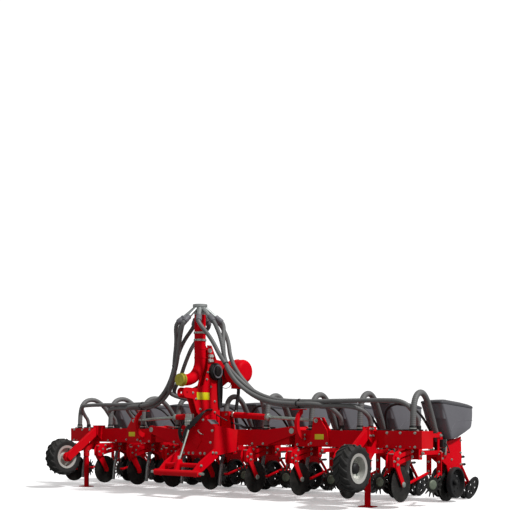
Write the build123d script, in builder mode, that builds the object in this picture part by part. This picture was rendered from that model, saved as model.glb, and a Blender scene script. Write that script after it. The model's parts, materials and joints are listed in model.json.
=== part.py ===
from build123d import *
import math
import os

# A mounted nine-row precision planter, parked on its two stands and its closing wheels.
# X runs across the rows, Y to the rear, Z up. Millimetres. The origin is on the ground,
# under the middle of the machine's box.

# Rows and sections
ROW_PITCH = 750.0
SECTIONS = {
    "centre": (-1, 0, 1),
    "left": (-4, -3, -2),
    "right": (2, 3, 4),
}
SIDES = {"left": -1, "right": 1}

# Main beam
BEAM_Y = -298.0
BEAM_DEPTH = 250.0
BEAM_BOTTOM = 700.0
BEAM_HEIGHT = 210.0
END_MARGIN = 250.0
BEAM_HALF_LENGTH = SECTIONS["right"][-1] * ROW_PITCH + END_MARGIN
BEAM_TOP = BEAM_BOTTOM + BEAM_HEIGHT
BEAM_FRONT = BEAM_Y - BEAM_DEPTH / 2
BEAM_REAR = BEAM_Y + BEAM_DEPTH / 2
CENTRE_HALF_LENGTH = 930.0
END_BOX_LENGTH = 510.0
END_PLATE = 15.0

# Wing fold
FOLD_X = 1330.0
FOLD_Z = 900.0
FOLD_PIN_R = 25.0
KNUCKLE_R = 48.0
CHEEK = 24.0
CHEEK_GAP = 5.0
PIN_CLEARANCE = 0.05
CENTRE_DEPTH = BEAM_DEPTH + 2 * (CHEEK + CHEEK_GAP)
CENTRE_FRONT = BEAM_Y - CENTRE_DEPTH / 2
CENTRE_REAR = BEAM_Y + CENTRE_DEPTH / 2

# Fold cylinders
CYLINDER_Y = -385.0
CYLINDER_BASE = (160.0, 1120.0)
CYLINDER_EYE = (1720.0, 1035.0)
BARREL_R = 42.0
BARREL_LENGTH = 740.0
NECK_R = 24.0
NECK_LENGTH = 85.0
ROD_R = 22.0
ROD_INSIDE = 100.0
BASE_PIN_R = 20.0
EYE_R = 36.0
EYE_WIDTH = 50.0
ROD_CLEARANCE = 0.1
EAR = 20.0
EAR_GAP = 38.0

# Support wheels and parking stands
WHEEL_X = 2677.0
WHEEL_Y = -1036.0
WHEEL_Z = 480.0
TYRE_R = 281.0
TYRE_WIDTH = 206.0
RIM_R = 152.0
RIM_FLANGE_R = 176.0
RIM_GAP = 0.3
AXLE_R = 30.0
ARM_X = 2530.0
ARM_WIDTH = 60.0
STAND_X = 2622.0
STAND_Y = -627.0
STAND_R = 37.5
STAND_TOP = 720.0
STAND_CLEARANCE = 0.5
FOOT = (190.0, 140.0, 12.0)
SLEEVE_WALL = 9.0
SLEEVE_BOTTOM = 480.0
SLEEVE_TOP = 640.0

# Headstock and tower
LINK_Y = -1233.0
LINK_Z = 339.0
LINK_PIN_R = 18.3
LINK_SHOULDER_X = 412.0
LINK_END_X = 487.0
LINK_BAR_R = 42.0
TOP_LINK_Y = -1100.0
TOP_LINK_Z = 1412.0
TOP_LINK_R = 16.0
HEAD_FRONT = -850.0
HEAD_PLATE = 16.0
HEAD_HALF = 335.0
MAST_HALF = 60.0
MAST_PLATE = 15.0
PIPE_Y = -788.0
PIPE_R = 78.0
PIPE_INLET_Y = -1130.0
PIPE_INLET_Z = 1583.0
PIPE_BEND = 280.0
PIPE_TOP = 2480.0
COUPLING_LENGTH = 60.0
MACHINE_TOP = 2624.0
CAP_R = 100.0
OUTLETS = 9
OUTLET_R = 26.0
OUTLET_SPREAD = 270.0
OUTLET_TOP = 2590.0
OUTLET_BOTTOM = 2400.0
FAN_Y = -298.0
FAN_Z = 1715.0
FAN_R = 165.0
FAN_X = (150.0, 420.0)

# Row units
PLATE_X = 45.0
PLATE = 12.0
HOPPER_HALF = 155.0
HOPPER_WALL = 8.0
LID_OVERHANG = 3.0
LID_GAP = 0.5
GAUGE_Y = 652.0
GAUGE_Z = 248.0
GAUGE_R = 198.0
GAUGE_X = (75.0, 130.0)
GAUGE_AXLE_R = 15.0
OPENER_Y = 600.0
OPENER_R = 190.0
OPENER_BOTTOM = 8.0
OPENER_TOE = 3.0
CLOSING_X = 78.0
CLOSING_Y = 1162.0
CLOSING_R = 155.0
CLOSING_HALF_WIDTH = 14.0
CLOSING_TILT = math.radians(18.0)
CLOSING_Z = CLOSING_R * math.cos(CLOSING_TILT) + CLOSING_HALF_WIDTH * math.sin(CLOSING_TILT)
STAR_X = 200.0
STAR_Y = -100.0
STAR_Z = 262.0
STAR_R = 150.0
STAR_TINES = 13
STAR_TOE = 18.0
METER_Y = 520.0
METER_Z = 680.0
METER_R = 118.0

# Fertiliser coulters
COULTER_OFFSET = 29.0
COULTER_Y = -538.0
COULTER_Z = 282.0
COULTER_R = 210.0
COULTER_AXLE_R = 12.0

# Hoses
LOOP_R = 33.0
LOOP_FRONT_Y = -290.0
LOOP_BEFORE_END = (0.0, 350.0, 870.0)
LOOP_END = (0.0, 385.0, 780.0)
HOSE_R = 27.0
HOSE_Y = -462.0
HOSE_Z = 1270.0
HOSE_FOOT_Y = -212.0


def block(x0, x1, y0, y1, z0, z1, mode=Mode.ADD):
    """A box between two corners."""
    with Locations(((x0 + x1) / 2, (y0 + y1) / 2, (z0 + z1) / 2)):
        Box(abs(x1 - x0), abs(y1 - y0), abs(z1 - z0), mode=mode)


def round_bar(start, end, radius, mode=Mode.ADD):
    """A round bar from one point to another."""
    run = Vector(*end) - Vector(*start)
    with BuildSketch(Plane(origin=start, z_dir=run), mode=Mode.PRIVATE) as section:
        Circle(radius)
    extrude(section.sketch, amount=run.length, mode=mode)


def side_plate(points, x0, x1, mode=Mode.ADD):
    """An outline of (y, z) points, from x0 to x1."""
    with BuildSketch(Plane.YZ.offset(min(x0, x1)), mode=Mode.PRIVATE) as outline:
        with BuildLine():
            Polyline(*points, close=True)
        make_face()
    extrude(outline.sketch, amount=abs(x1 - x0), mode=mode)


def front_plate(points, y0, y1, mode=Mode.ADD):
    """An outline of (x, z) points, from y0 to y1."""
    with BuildSketch(Plane.XZ.offset(-max(y0, y1)), mode=Mode.PRIVATE) as outline:
        with BuildLine():
            Polyline(*points, close=True)
        make_face()
    extrude(outline.sketch, amount=abs(y1 - y0), mode=mode)


def hose(points, radius, bend=0.45):
    """A round hose along straight runs, each corner as wide an arc as its runs allow."""
    corners = [Vector(*point) for point in points]
    radii = []
    for before, corner, after in zip(corners, corners[1:], corners[2:]):
        turn = math.radians((corner - before).get_angle(after - corner))
        shorter = min((corner - before).length, (after - corner).length)
        radii.append(bend * shorter / math.tan(turn / 2))
    with BuildLine(mode=Mode.PRIVATE) as path:
        FilletPolyline(*points, radius=radii)
    with BuildSketch(Plane(origin=points[0], z_dir=path.line % 0), mode=Mode.PRIVATE) as section:
        Circle(radius)
    sweep(section.sketch, path=path.line)


def keep(builder, name):
    """Label a finished piece and write it."""
    builder.part.label = name
    export_step(builder.part, f"parts/{name}.step")


os.makedirs("parts", exist_ok=True)


# Centre beam: the deep middle box, its hinge cheeks and the fold cylinders' bracket

CHEEK_BOSS_R = KNUCKLE_R + 12
WEB_END = FOLD_X - KNUCKLE_R - 14
CHEEK_ROOT = 50.0
BRACKET = 18.0
BRACKET_HALF = 240.0

with BuildPart() as centre_beam:
    block(-CENTRE_HALF_LENGTH, CENTRE_HALF_LENGTH, CENTRE_FRONT, BEAM_REAR, BEAM_BOTTOM, BEAM_TOP)
    block(-WEB_END, WEB_END, BEAM_FRONT, BEAM_REAR, BEAM_BOTTOM + 15, BEAM_TOP - 15)
    for side in SIDES.values():
        pad = side * CENTRE_HALF_LENGTH
        block(pad - side * CHEEK_ROOT, pad + side * CHEEK_ROOT, BEAM_REAR, CENTRE_REAR, BEAM_BOTTOM, BEAM_TOP)
        for y0 in (CENTRE_FRONT, CENTRE_REAR - CHEEK):
            root_x = side * (CENTRE_HALF_LENGTH - CHEEK_ROOT)
            pin_x = side * FOLD_X
            front_plate(
                [
                    (root_x, BEAM_BOTTOM),
                    (root_x, BEAM_TOP),
                    (pin_x, FOLD_Z + CHEEK_BOSS_R),
                    (pin_x, FOLD_Z - CHEEK_BOSS_R),
                ],
                y0,
                y0 + CHEEK,
            )
            round_bar((pin_x, y0, FOLD_Z), (pin_x, y0 + CHEEK, FOLD_Z), CHEEK_BOSS_R)
    for y0 in (CYLINDER_Y - EYE_WIDTH / 2 - 5 - BRACKET, CYLINDER_Y + EYE_WIDTH / 2 + 5):
        base_x, base_z = CYLINDER_BASE
        front_plate(
            [
                (-BRACKET_HALF, BEAM_TOP - 5),
                (BRACKET_HALF, BEAM_TOP - 5),
                (base_x + 45, base_z + 45),
                (-base_x - 45, base_z + 45),
            ],
            y0,
            y0 + BRACKET,
        )
    for side in SIDES.values():
        pin_x = side * FOLD_X
        round_bar(
            (pin_x, CENTRE_FRONT - 5, FOLD_Z),
            (pin_x, CENTRE_REAR + 5, FOLD_Z),
            FOLD_PIN_R + PIN_CLEARANCE,
            mode=Mode.SUBTRACT,
        )
        round_bar(
            (side * CYLINDER_BASE[0], CYLINDER_Y - 100, CYLINDER_BASE[1]),
            (side * CYLINDER_BASE[0], CYLINDER_Y + 100, CYLINDER_BASE[1]),
            BASE_PIN_R + PIN_CLEARANCE,
            mode=Mode.SUBTRACT,
        )
keep(centre_beam, "centre_beam")


# Pins: the wings' hinge pins, the cylinders' base pins and the lower-link pins

PIN_HEAD = 8.0

with BuildPart() as pins:
    for side in SIDES.values():
        pin_x = side * FOLD_X
        round_bar((pin_x, CENTRE_FRONT, FOLD_Z), (pin_x, CENTRE_REAR, FOLD_Z), FOLD_PIN_R)
        round_bar((pin_x, CENTRE_FRONT - PIN_HEAD, FOLD_Z), (pin_x, CENTRE_FRONT, FOLD_Z), FOLD_PIN_R + 12)
        round_bar((pin_x, CENTRE_REAR, FOLD_Z), (pin_x, CENTRE_REAR + PIN_HEAD, FOLD_Z), FOLD_PIN_R + 12)
        base_x = side * CYLINDER_BASE[0]
        base_z = CYLINDER_BASE[1]
        base_half = EYE_WIDTH / 2 + 5 + BRACKET
        round_bar(
            (base_x, CYLINDER_Y - base_half - PIN_HEAD, base_z),
            (base_x, CYLINDER_Y + base_half, base_z),
            BASE_PIN_R,
        )
        round_bar(
            (side * LINK_SHOULDER_X, LINK_Y, LINK_Z),
            (side * LINK_END_X, LINK_Y, LINK_Z),
            LINK_PIN_R,
        )
keep(pins, "pins")


# Headstock: the box in front of the beam, its arms and the lower-link bar

ARM_PLATE = 45.0
HEAD_BOTTOM = 560.0
HEAD_SHOULDER = 950.0
HEAD_TOP = 1080.0
HEAD_TOP_HALF = 170.0
UPPER_TUBE_R = 30.0
UPPER_TUBE = (-1130.0, 440.0)

with BuildPart() as headstock:
    front_plate(
        [
            (-HEAD_HALF + 35, HEAD_BOTTOM),
            (HEAD_HALF - 35, HEAD_BOTTOM),
            (HEAD_HALF, HEAD_SHOULDER),
            (HEAD_TOP_HALF, HEAD_TOP),
            (-HEAD_TOP_HALF, HEAD_TOP),
            (-HEAD_HALF, HEAD_SHOULDER),
        ],
        HEAD_FRONT,
        HEAD_FRONT + HEAD_PLATE,
    )
    for side in SIDES.values():
        side_plate(
            [
                (HEAD_FRONT, HEAD_BOTTOM),
                (CENTRE_FRONT, HEAD_BOTTOM + 60),
                (CENTRE_FRONT, BEAM_TOP),
                (HEAD_FRONT, HEAD_SHOULDER),
            ],
            side * (HEAD_HALF - HEAD_PLATE - 35),
            side * (HEAD_HALF - 35),
        )
        side_plate(
            [
                (HEAD_FRONT + 60, HEAD_BOTTOM + 60),
                (HEAD_FRONT + 60, HEAD_BOTTOM - 10),
                (LINK_Y + 10, LINK_Z - 50),
                (LINK_Y - 40, LINK_Z + 10),
                (LINK_Y + 10, LINK_Z + 60),
                (UPPER_TUBE[0], UPPER_TUBE[1] + 45),
                (HEAD_FRONT, HEAD_BOTTOM + 90),
            ],
            side * (HEAD_HALF - 35),
            side * (HEAD_HALF - 35 + ARM_PLATE),
        )
    round_bar((-LINK_SHOULDER_X, LINK_Y, LINK_Z), (LINK_SHOULDER_X, LINK_Y, LINK_Z), LINK_BAR_R)
    upper_end = HEAD_HALF - 20
    round_bar((-upper_end, *UPPER_TUBE), (upper_end, *UPPER_TUBE), UPPER_TUBE_R)
keep(headstock, "headstock")


# Mast: two plates with the top-link nose, carrying the air pipe and the fan

MAST_OUTLINE = [
    (CENTRE_FRONT, BEAM_BOTTOM + 80),
    (HEAD_FRONT + HEAD_PLATE, BEAM_BOTTOM + 80),
    (HEAD_FRONT + HEAD_PLATE, HEAD_TOP),
    (HEAD_FRONT - 60, 1150.0),
    (HEAD_FRONT - 130, 1330.0),
    (TOP_LINK_Y, TOP_LINK_Z - 70),
    (TOP_LINK_Y, TOP_LINK_Z + 70),
    (-900.0, TOP_LINK_Z + 60),
    (-778.0, 1520.0),
    (-700.0, 1750.0),
    (-698.0, 2070.0),
    (-620.0, 2070.0),
    (-520.0, 1880.0),
    (-240.0, 1850.0),
    (-240.0, 1600.0),
    (CENTRE_FRONT, 1480.0),
]

with BuildPart() as mast:
    for side in SIDES.values():
        side_plate(MAST_OUTLINE, side * (MAST_HALF - MAST_PLATE), side * MAST_HALF)
        round_bar(
            (side * (MAST_HALF - MAST_PLATE), TOP_LINK_Y, TOP_LINK_Z),
            (side * MAST_HALF, TOP_LINK_Y, TOP_LINK_Z),
            70.0,
        )
    block(-MAST_HALF, MAST_HALF, -560, -530, 1000, 1480)
    block(-MAST_HALF, MAST_HALF, -690, -660, 1800, 2040)
    round_bar(
        (-MAST_HALF - 5, TOP_LINK_Y, TOP_LINK_Z),
        (MAST_HALF + 5, TOP_LINK_Y, TOP_LINK_Z),
        TOP_LINK_R,
        mode=Mode.SUBTRACT,
    )
keep(mast, "mast")


# Air pipe with its inlet coupling

with BuildPart() as air_pipe:
    pipe_points = [
        (0, PIPE_INLET_Y, PIPE_INLET_Z),
        (0, PIPE_Y, PIPE_INLET_Z),
        (0, PIPE_Y, PIPE_TOP),
    ]
    with BuildLine() as pipe_path:
        FilletPolyline(*pipe_points, radius=PIPE_BEND)
    with BuildSketch(Plane(origin=pipe_points[0], z_dir=(0, 1, 0))):
        Circle(PIPE_R)
    sweep(path=pipe_path.line)
    for ring_z in (2135.0, 2235.0):
        with Locations((0, PIPE_Y, ring_z)):
            Cylinder(PIPE_R + 6, 24)
keep(air_pipe, "air_pipe")

with BuildPart() as pipe_coupling:
    round_bar((0, PIPE_INLET_Y - COUPLING_LENGTH, PIPE_INLET_Z), (0, PIPE_INLET_Y, PIPE_INLET_Z), PIPE_R + 2)
    round_bar((0, PIPE_INLET_Y - 20, PIPE_INLET_Z), (0, PIPE_INLET_Y, PIPE_INLET_Z), PIPE_R + 14)
keep(pipe_coupling, "pipe_coupling")


# Distributor head: the cap, its ring of outlet pipes and their connectors

OUTLET_ROOT_R = 62.0
CONNECTOR_R = 38.0
CONNECTOR_LENGTH = 110.0
OUTLET_TURN = 360.0 / OUTLETS


def outlet_point(index, radius, z):
    """A point at one radius and height on the outlet that has this place in the ring."""
    angle = math.radians(-90 + index * OUTLET_TURN)
    return (radius * math.cos(angle), PIPE_Y + radius * math.sin(angle), z)


with BuildPart() as distributor:
    with BuildSketch(Plane.XY.offset(PIPE_TOP)):
        with Locations((0, PIPE_Y)):
            Circle(PIPE_R)
    with BuildSketch(Plane.XY.offset(OUTLET_TOP)):
        with Locations((0, PIPE_Y)):
            Circle(CAP_R - 8)
    loft()
    with Locations((0, PIPE_Y, (OUTLET_TOP + MACHINE_TOP) / 2)):
        Cylinder(CAP_R, MACHINE_TOP - OUTLET_TOP)
    for index in range(OUTLETS):
        top = Vector(*outlet_point(index, OUTLET_ROOT_R, OUTLET_TOP - 10))
        bottom = Vector(*outlet_point(index, OUTLET_SPREAD, OUTLET_BOTTOM))
        run = (bottom - top).normalized()
        round_bar(tuple(top), tuple(bottom), OUTLET_R)
        block_end = bottom + run * CONNECTOR_LENGTH * 0.4
        block_start = bottom - run * CONNECTOR_LENGTH * 0.6
        round_bar(tuple(block_start), tuple(block_end), CONNECTOR_R)
keep(distributor, "distributor")


# Fan: the red housing and its motor

with BuildPart() as fan_housing:
    with Locations(Plane(origin=((FAN_X[0] + FAN_X[1]) / 2, FAN_Y, FAN_Z), z_dir=(1, 0, 0)).location):
        Cylinder(FAN_R, FAN_X[1] - FAN_X[0])
    fillet(fan_housing.edges().filter_by(GeomType.CIRCLE).sort_by(Axis.X)[-1], 70)
    block(FAN_X[0], FAN_X[0] + 110, FAN_Y - 20, FAN_Y + FAN_R, FAN_Z - FAN_R - 70, FAN_Z)
keep(fan_housing, "fan_housing")

with BuildPart() as fan_motor:
    round_bar((MAST_HALF, FAN_Y, FAN_Z), (FAN_X[0], FAN_Y, FAN_Z), 95)
keep(fan_motor, "fan_motor")


# Hydraulics: the valve block, the levelling rod and the row of gauges

GAUGES = [(-672, 1995), (-672, 1925), (-632, 1925), (-672, 1855), (-632, 1855)]

with BuildPart() as hydraulics:
    block(-150, -30, HEAD_FRONT - 80, HEAD_FRONT, HEAD_TOP - 120, HEAD_TOP - 5)
    round_bar((-75, HEAD_FRONT - 60, HEAD_TOP - 115), (-40, UPPER_TUBE[0] - 20, UPPER_TUBE[1] + 60), 14)
    for gauge_y, gauge_z in GAUGES:
        round_bar((MAST_HALF, gauge_y, gauge_z), (MAST_HALF + 22, gauge_y, gauge_z), 18)
keep(hydraulics, "hydraulics")


# Wings: beam, hinge knuckle, end box, cylinder ears, hose bracket, wheel bracket, stand sleeve

EYE_X, EYE_Z = CYLINDER_EYE
EAR_FRONT = CYLINDER_Y - EAR_GAP
EAR_REAR = CYLINDER_Y + EAR_GAP
HOSE_BRACKET_X = 1520.0
HOSE_BRACKET_WIDTH = 40.0
HOSE_BRACKET_BULGE = 190.0
HOSE_SEAT = HOSE_Z - 3 * HOSE_R - 4

with BuildPart() as wing_beam_right:
    end_x = BEAM_HALF_LENGTH - END_BOX_LENGTH
    block(FOLD_X + 35, end_x, BEAM_FRONT, BEAM_REAR, BEAM_BOTTOM, BEAM_TOP)
    block(end_x, BEAM_HALF_LENGTH, BEAM_FRONT - END_PLATE, BEAM_REAR, BEAM_BOTTOM, BEAM_TOP)
    round_bar((FOLD_X, BEAM_FRONT, FOLD_Z), (FOLD_X, BEAM_REAR, FOLD_Z), KNUCKLE_R)
    front_plate(
        [
            (EYE_X - 120, BEAM_BOTTOM + 10),
            (EYE_X + 210, BEAM_BOTTOM + 10),
            (EYE_X + 160, BEAM_TOP + 10),
            (EYE_X + 45, EYE_Z + 40),
            (EYE_X - 40, EYE_Z + 40),
            (EYE_X - 70, BEAM_TOP + 10),
        ],
        EAR_FRONT - EAR,
        EAR_FRONT,
    )
    front_plate(
        [
            (EYE_X - 80, BEAM_TOP - 5),
            (EYE_X + 150, BEAM_TOP - 5),
            (EYE_X + 45, EYE_Z + 40),
            (EYE_X - 40, EYE_Z + 40),
        ],
        EAR_REAR,
        EAR_REAR + EAR,
    )
    with BuildSketch(Plane.YZ.offset(HOSE_BRACKET_X - HOSE_BRACKET_WIDTH / 2)):
        with BuildLine():
            low = (BEAM_FRONT, BEAM_BOTTOM + 70)
            high = (HOSE_Y - 20, HOSE_SEAT - 6)
            outer_mid = (BEAM_FRONT - HOSE_BRACKET_BULGE, (low[1] + high[1]) / 2)
            inner_mid = (BEAM_FRONT - HOSE_BRACKET_BULGE + 55, (low[1] + high[1]) / 2)
            inner_low = (BEAM_FRONT, BEAM_BOTTOM + 150)
            inner_high = (HOSE_Y - 20, HOSE_SEAT - 60)
            ThreePointArc(low, outer_mid, high)
            Line(high, inner_high)
            ThreePointArc(inner_high, inner_mid, inner_low)
            Line(inner_low, low)
        make_face()
    extrude(amount=HOSE_BRACKET_WIDTH)
    block(HOSE_BRACKET_X - 130, HOSE_BRACKET_X + 40, HOSE_Y - 70, HOSE_Y + 34, HOSE_SEAT - 12, HOSE_SEAT)
    # wheel bracket plates on the front face
    for plate_x in (ARM_X - ARM_WIDTH / 2 - 16, ARM_X + ARM_WIDTH / 2 + 1):
        side_plate(
            [
                (BEAM_FRONT, BEAM_BOTTOM + 20),
                (BEAM_FRONT - 110, BEAM_BOTTOM + 120),
                (BEAM_FRONT - 110, BEAM_TOP + 50),
                (BEAM_FRONT + 60, BEAM_TOP + 50),
                (BEAM_FRONT + 60, BEAM_TOP),
                (BEAM_FRONT, BEAM_TOP),
            ],
            plate_x,
            plate_x + 15,
        )
    # stand sleeve on its bracket
    sleeve_r = STAND_R + STAND_CLEARANCE + SLEEVE_WALL
    round_bar((STAND_X, STAND_Y, SLEEVE_BOTTOM), (STAND_X, STAND_Y, SLEEVE_TOP), sleeve_r)
    side_plate(
        [
            (STAND_Y, SLEEVE_BOTTOM + 20),
            (STAND_Y, SLEEVE_TOP - 20),
            (BEAM_FRONT, BEAM_BOTTOM + 120),
            (BEAM_FRONT, BEAM_BOTTOM + 5),
        ],
        STAND_X - 12,
        STAND_X + 12,
    )
    round_bar(
        (STAND_X, STAND_Y, SLEEVE_BOTTOM - 5),
        (STAND_X, STAND_Y, STAND_TOP + 50),
        STAND_R + STAND_CLEARANCE,
        mode=Mode.SUBTRACT,
    )
    round_bar(
        (FOLD_X, BEAM_FRONT - 5, FOLD_Z),
        (FOLD_X, BEAM_REAR + 5, FOLD_Z),
        FOLD_PIN_R + PIN_CLEARANCE,
        mode=Mode.SUBTRACT,
    )
keep(wing_beam_right, "wing_beam_right")

with BuildPart() as wing_beam_left:
    mirror(wing_beam_right.part, about=Plane.YZ)
keep(wing_beam_left, "wing_beam_left")


# Support-wheel arm with its stub axle

with BuildPart() as wheel_arm_right:
    side_plate(
        [
            (BEAM_FRONT, BEAM_TOP - 80),
            (BEAM_FRONT, BEAM_TOP + 40),
            (BEAM_FRONT - 70, BEAM_TOP + 40),
            (BEAM_FRONT - 260, BEAM_BOTTOM + 120),
            (WHEEL_Y - 30, WHEEL_Z + 55),
            (WHEEL_Y - 55, WHEEL_Z),
            (WHEEL_Y, WHEEL_Z - 55),
            (BEAM_FRONT - 240, BEAM_BOTTOM),
            (BEAM_FRONT - 60, BEAM_BOTTOM + 130),
        ],
        ARM_X - ARM_WIDTH / 2,
        ARM_X + ARM_WIDTH / 2,
    )
    round_bar((ARM_X, WHEEL_Y, WHEEL_Z), (WHEEL_X - TYRE_WIDTH / 2 + 20, WHEEL_Y, WHEEL_Z), 70)
    round_bar((ARM_X, WHEEL_Y, WHEEL_Z), (WHEEL_X + 40, WHEEL_Y, WHEEL_Z), AXLE_R)
keep(wheel_arm_right, "wheel_arm_right")

with BuildPart() as wheel_arm_left:
    mirror(wheel_arm_right.part, about=Plane.YZ)
keep(wheel_arm_left, "wheel_arm_left")


# Support wheel: tyre and dished rim, turned about the axle

WHEEL_PLANE = Plane(origin=(WHEEL_X, WHEEL_Y, WHEEL_Z), x_dir=(0, 0, 1), z_dir=(0, -1, 0))
WHEEL_AXIS = Axis((WHEEL_X, WHEEL_Y, WHEEL_Z), (1, 0, 0))
DISC_FACE = 25.0
DISC_THICKNESS = 12.0
BOSS_R = 62.0

with BuildPart() as tyre_right:
    half = TYRE_WIDTH / 2
    inner = RIM_R + RIM_GAP
    with BuildSketch(WHEEL_PLANE):
        with BuildLine():
            Polyline(
                (inner, half - 22),
                (RIM_FLANGE_R + 6, half - 14),
                (TYRE_R - 60, half),
                (TYRE_R - 14, half - 10),
                (TYRE_R, half - 40),
                (TYRE_R, -half + 40),
                (TYRE_R - 14, -half + 10),
                (TYRE_R - 60, -half),
                (RIM_FLANGE_R + 6, -half + 14),
                (inner, -half + 22),
                close=True,
            )
        make_face()
    revolve(axis=WHEEL_AXIS)
keep(tyre_right, "tyre_right")

with BuildPart() as rim_right:
    with BuildSketch(WHEEL_PLANE):
        with BuildLine():
            Polyline(
                (AXLE_R + PIN_CLEARANCE, -20),
                (BOSS_R, -20),
                (BOSS_R, DISC_FACE - DISC_THICKNESS),
                (RIM_R - 12, DISC_FACE - DISC_THICKNESS),
                (RIM_R - 12, -half + 12),
                (RIM_FLANGE_R, -half + 6),
                (RIM_FLANGE_R, -half + 14),
                (RIM_R, -half + 22),
                (RIM_R, half - 22),
                (RIM_FLANGE_R, half - 14),
                (RIM_FLANGE_R, half - 6),
                (RIM_R - 12, half - 12),
                (RIM_R - 12, DISC_FACE),
                (BOSS_R, DISC_FACE),
                (BOSS_R - 8, DISC_FACE + 35),
                (AXLE_R + PIN_CLEARANCE, DISC_FACE + 35),
                close=True,
            )
        make_face()
    revolve(axis=WHEEL_AXIS)
keep(rim_right, "rim_right")

with BuildPart() as tyre_left:
    mirror(tyre_right.part, about=Plane.YZ)
keep(tyre_left, "tyre_left")

with BuildPart() as rim_left:
    mirror(rim_right.part, about=Plane.YZ)
keep(rim_left, "rim_left")


# Parking stands

with BuildPart() as stand_right:
    round_bar((STAND_X, STAND_Y, FOOT[2] / 2), (STAND_X, STAND_Y, STAND_TOP), STAND_R)
    block(
        STAND_X - FOOT[0] / 2,
        STAND_X + FOOT[0] / 2,
        STAND_Y - FOOT[1] / 2,
        STAND_Y + FOOT[1] / 2,
        0,
        FOOT[2],
    )
keep(stand_right, "stand_right")

with BuildPart() as stand_left:
    mirror(stand_right.part, about=Plane.YZ)
keep(stand_left, "stand_left")


# Fold cylinders: barrel on its base pin, rod with its eye

base_point = Vector(CYLINDER_BASE[0], CYLINDER_Y, CYLINDER_BASE[1])
eye_point = Vector(EYE_X, CYLINDER_Y, EYE_Z)
stroke_line = (eye_point - base_point).normalized()
gland_point = base_point + stroke_line * BARREL_LENGTH
rod_tail = gland_point - stroke_line * ROD_INSIDE
barrel_foot = base_point + stroke_line * NECK_LENGTH
bore_bottom = base_point + stroke_line * (NECK_LENGTH + 20)
HALF_EYE = Vector(0, EYE_WIDTH / 2, 0)

with BuildPart() as barrel_right:
    round_bar(tuple(base_point - HALF_EYE), tuple(base_point + HALF_EYE), EYE_R)
    round_bar(tuple(base_point), tuple(barrel_foot), NECK_R)
    round_bar(tuple(barrel_foot), tuple(gland_point), BARREL_R)
    round_bar(
        tuple(bore_bottom),
        tuple(gland_point + stroke_line * 10),
        ROD_R + ROD_CLEARANCE,
        mode=Mode.SUBTRACT,
    )
    round_bar(
        tuple(base_point - HALF_EYE * 2),
        tuple(base_point + HALF_EYE * 2),
        BASE_PIN_R + PIN_CLEARANCE,
        mode=Mode.SUBTRACT,
    )
keep(barrel_right, "barrel_right")

EYE_PIN_HALF = Vector(0, EAR_GAP - 5, 0)

with BuildPart() as rod_right:
    round_bar(tuple(rod_tail), tuple(eye_point - stroke_line * 20), ROD_R)
    round_bar(tuple(eye_point - HALF_EYE), tuple(eye_point + HALF_EYE), EYE_R)
    round_bar(tuple(eye_point - EYE_PIN_HALF), tuple(eye_point + EYE_PIN_HALF), BASE_PIN_R)
keep(rod_right, "rod_right")

with BuildPart() as barrel_left:
    mirror(barrel_right.part, about=Plane.YZ)
keep(barrel_left, "barrel_left")

with BuildPart() as rod_left:
    mirror(rod_right.part, about=Plane.YZ)
keep(rod_left, "rod_left")


# Row unit, modelled once at X = 0: head, parallel links, frame plates, arms and axles

HEAD_REAR = -90.0
LINK_FRONT_Y = -115.0
LINK_REAR_Y = 330.0
UPPER_LINK_Z = 850.0
LOWER_LINK_Z = 640.0
LINK_HEIGHT = 50.0
UNIT_OUTLINE = [
    (290.0, 890.0),
    (380.0, 890.0),
    (430.0, 770.0),
    (480.0, 770.0),
    (690.0, 790.0),
    (900.0, 830.0),
    (920.0, 430.0),
    (GAUGE_Y + 75, 330.0),
    (GAUGE_Y + 40, GAUGE_Z - 30),
    (GAUGE_Y - 40, GAUGE_Z - 30),
    (GAUGE_Y - 75, 330.0),
    (520.0, 470.0),
    (290.0, 580.0),
]

FACE_Y = 290.0
STAR_HUB = 20.0


def star_point(side, reach):
    """A point on a row-cleaner star's axis, at a distance out from the star."""
    toe = math.radians(STAR_TOE)
    return (side * (STAR_X + reach * math.cos(toe)), STAR_Y - reach * math.sin(toe), STAR_Z)


def closing_point(side, reach):
    """A point on a closing wheel's axis, at a distance in from the wheel's middle."""
    x = side * (CLOSING_X - reach * math.cos(CLOSING_TILT))
    return (x, CLOSING_Y, CLOSING_Z + reach * math.sin(CLOSING_TILT))


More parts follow.
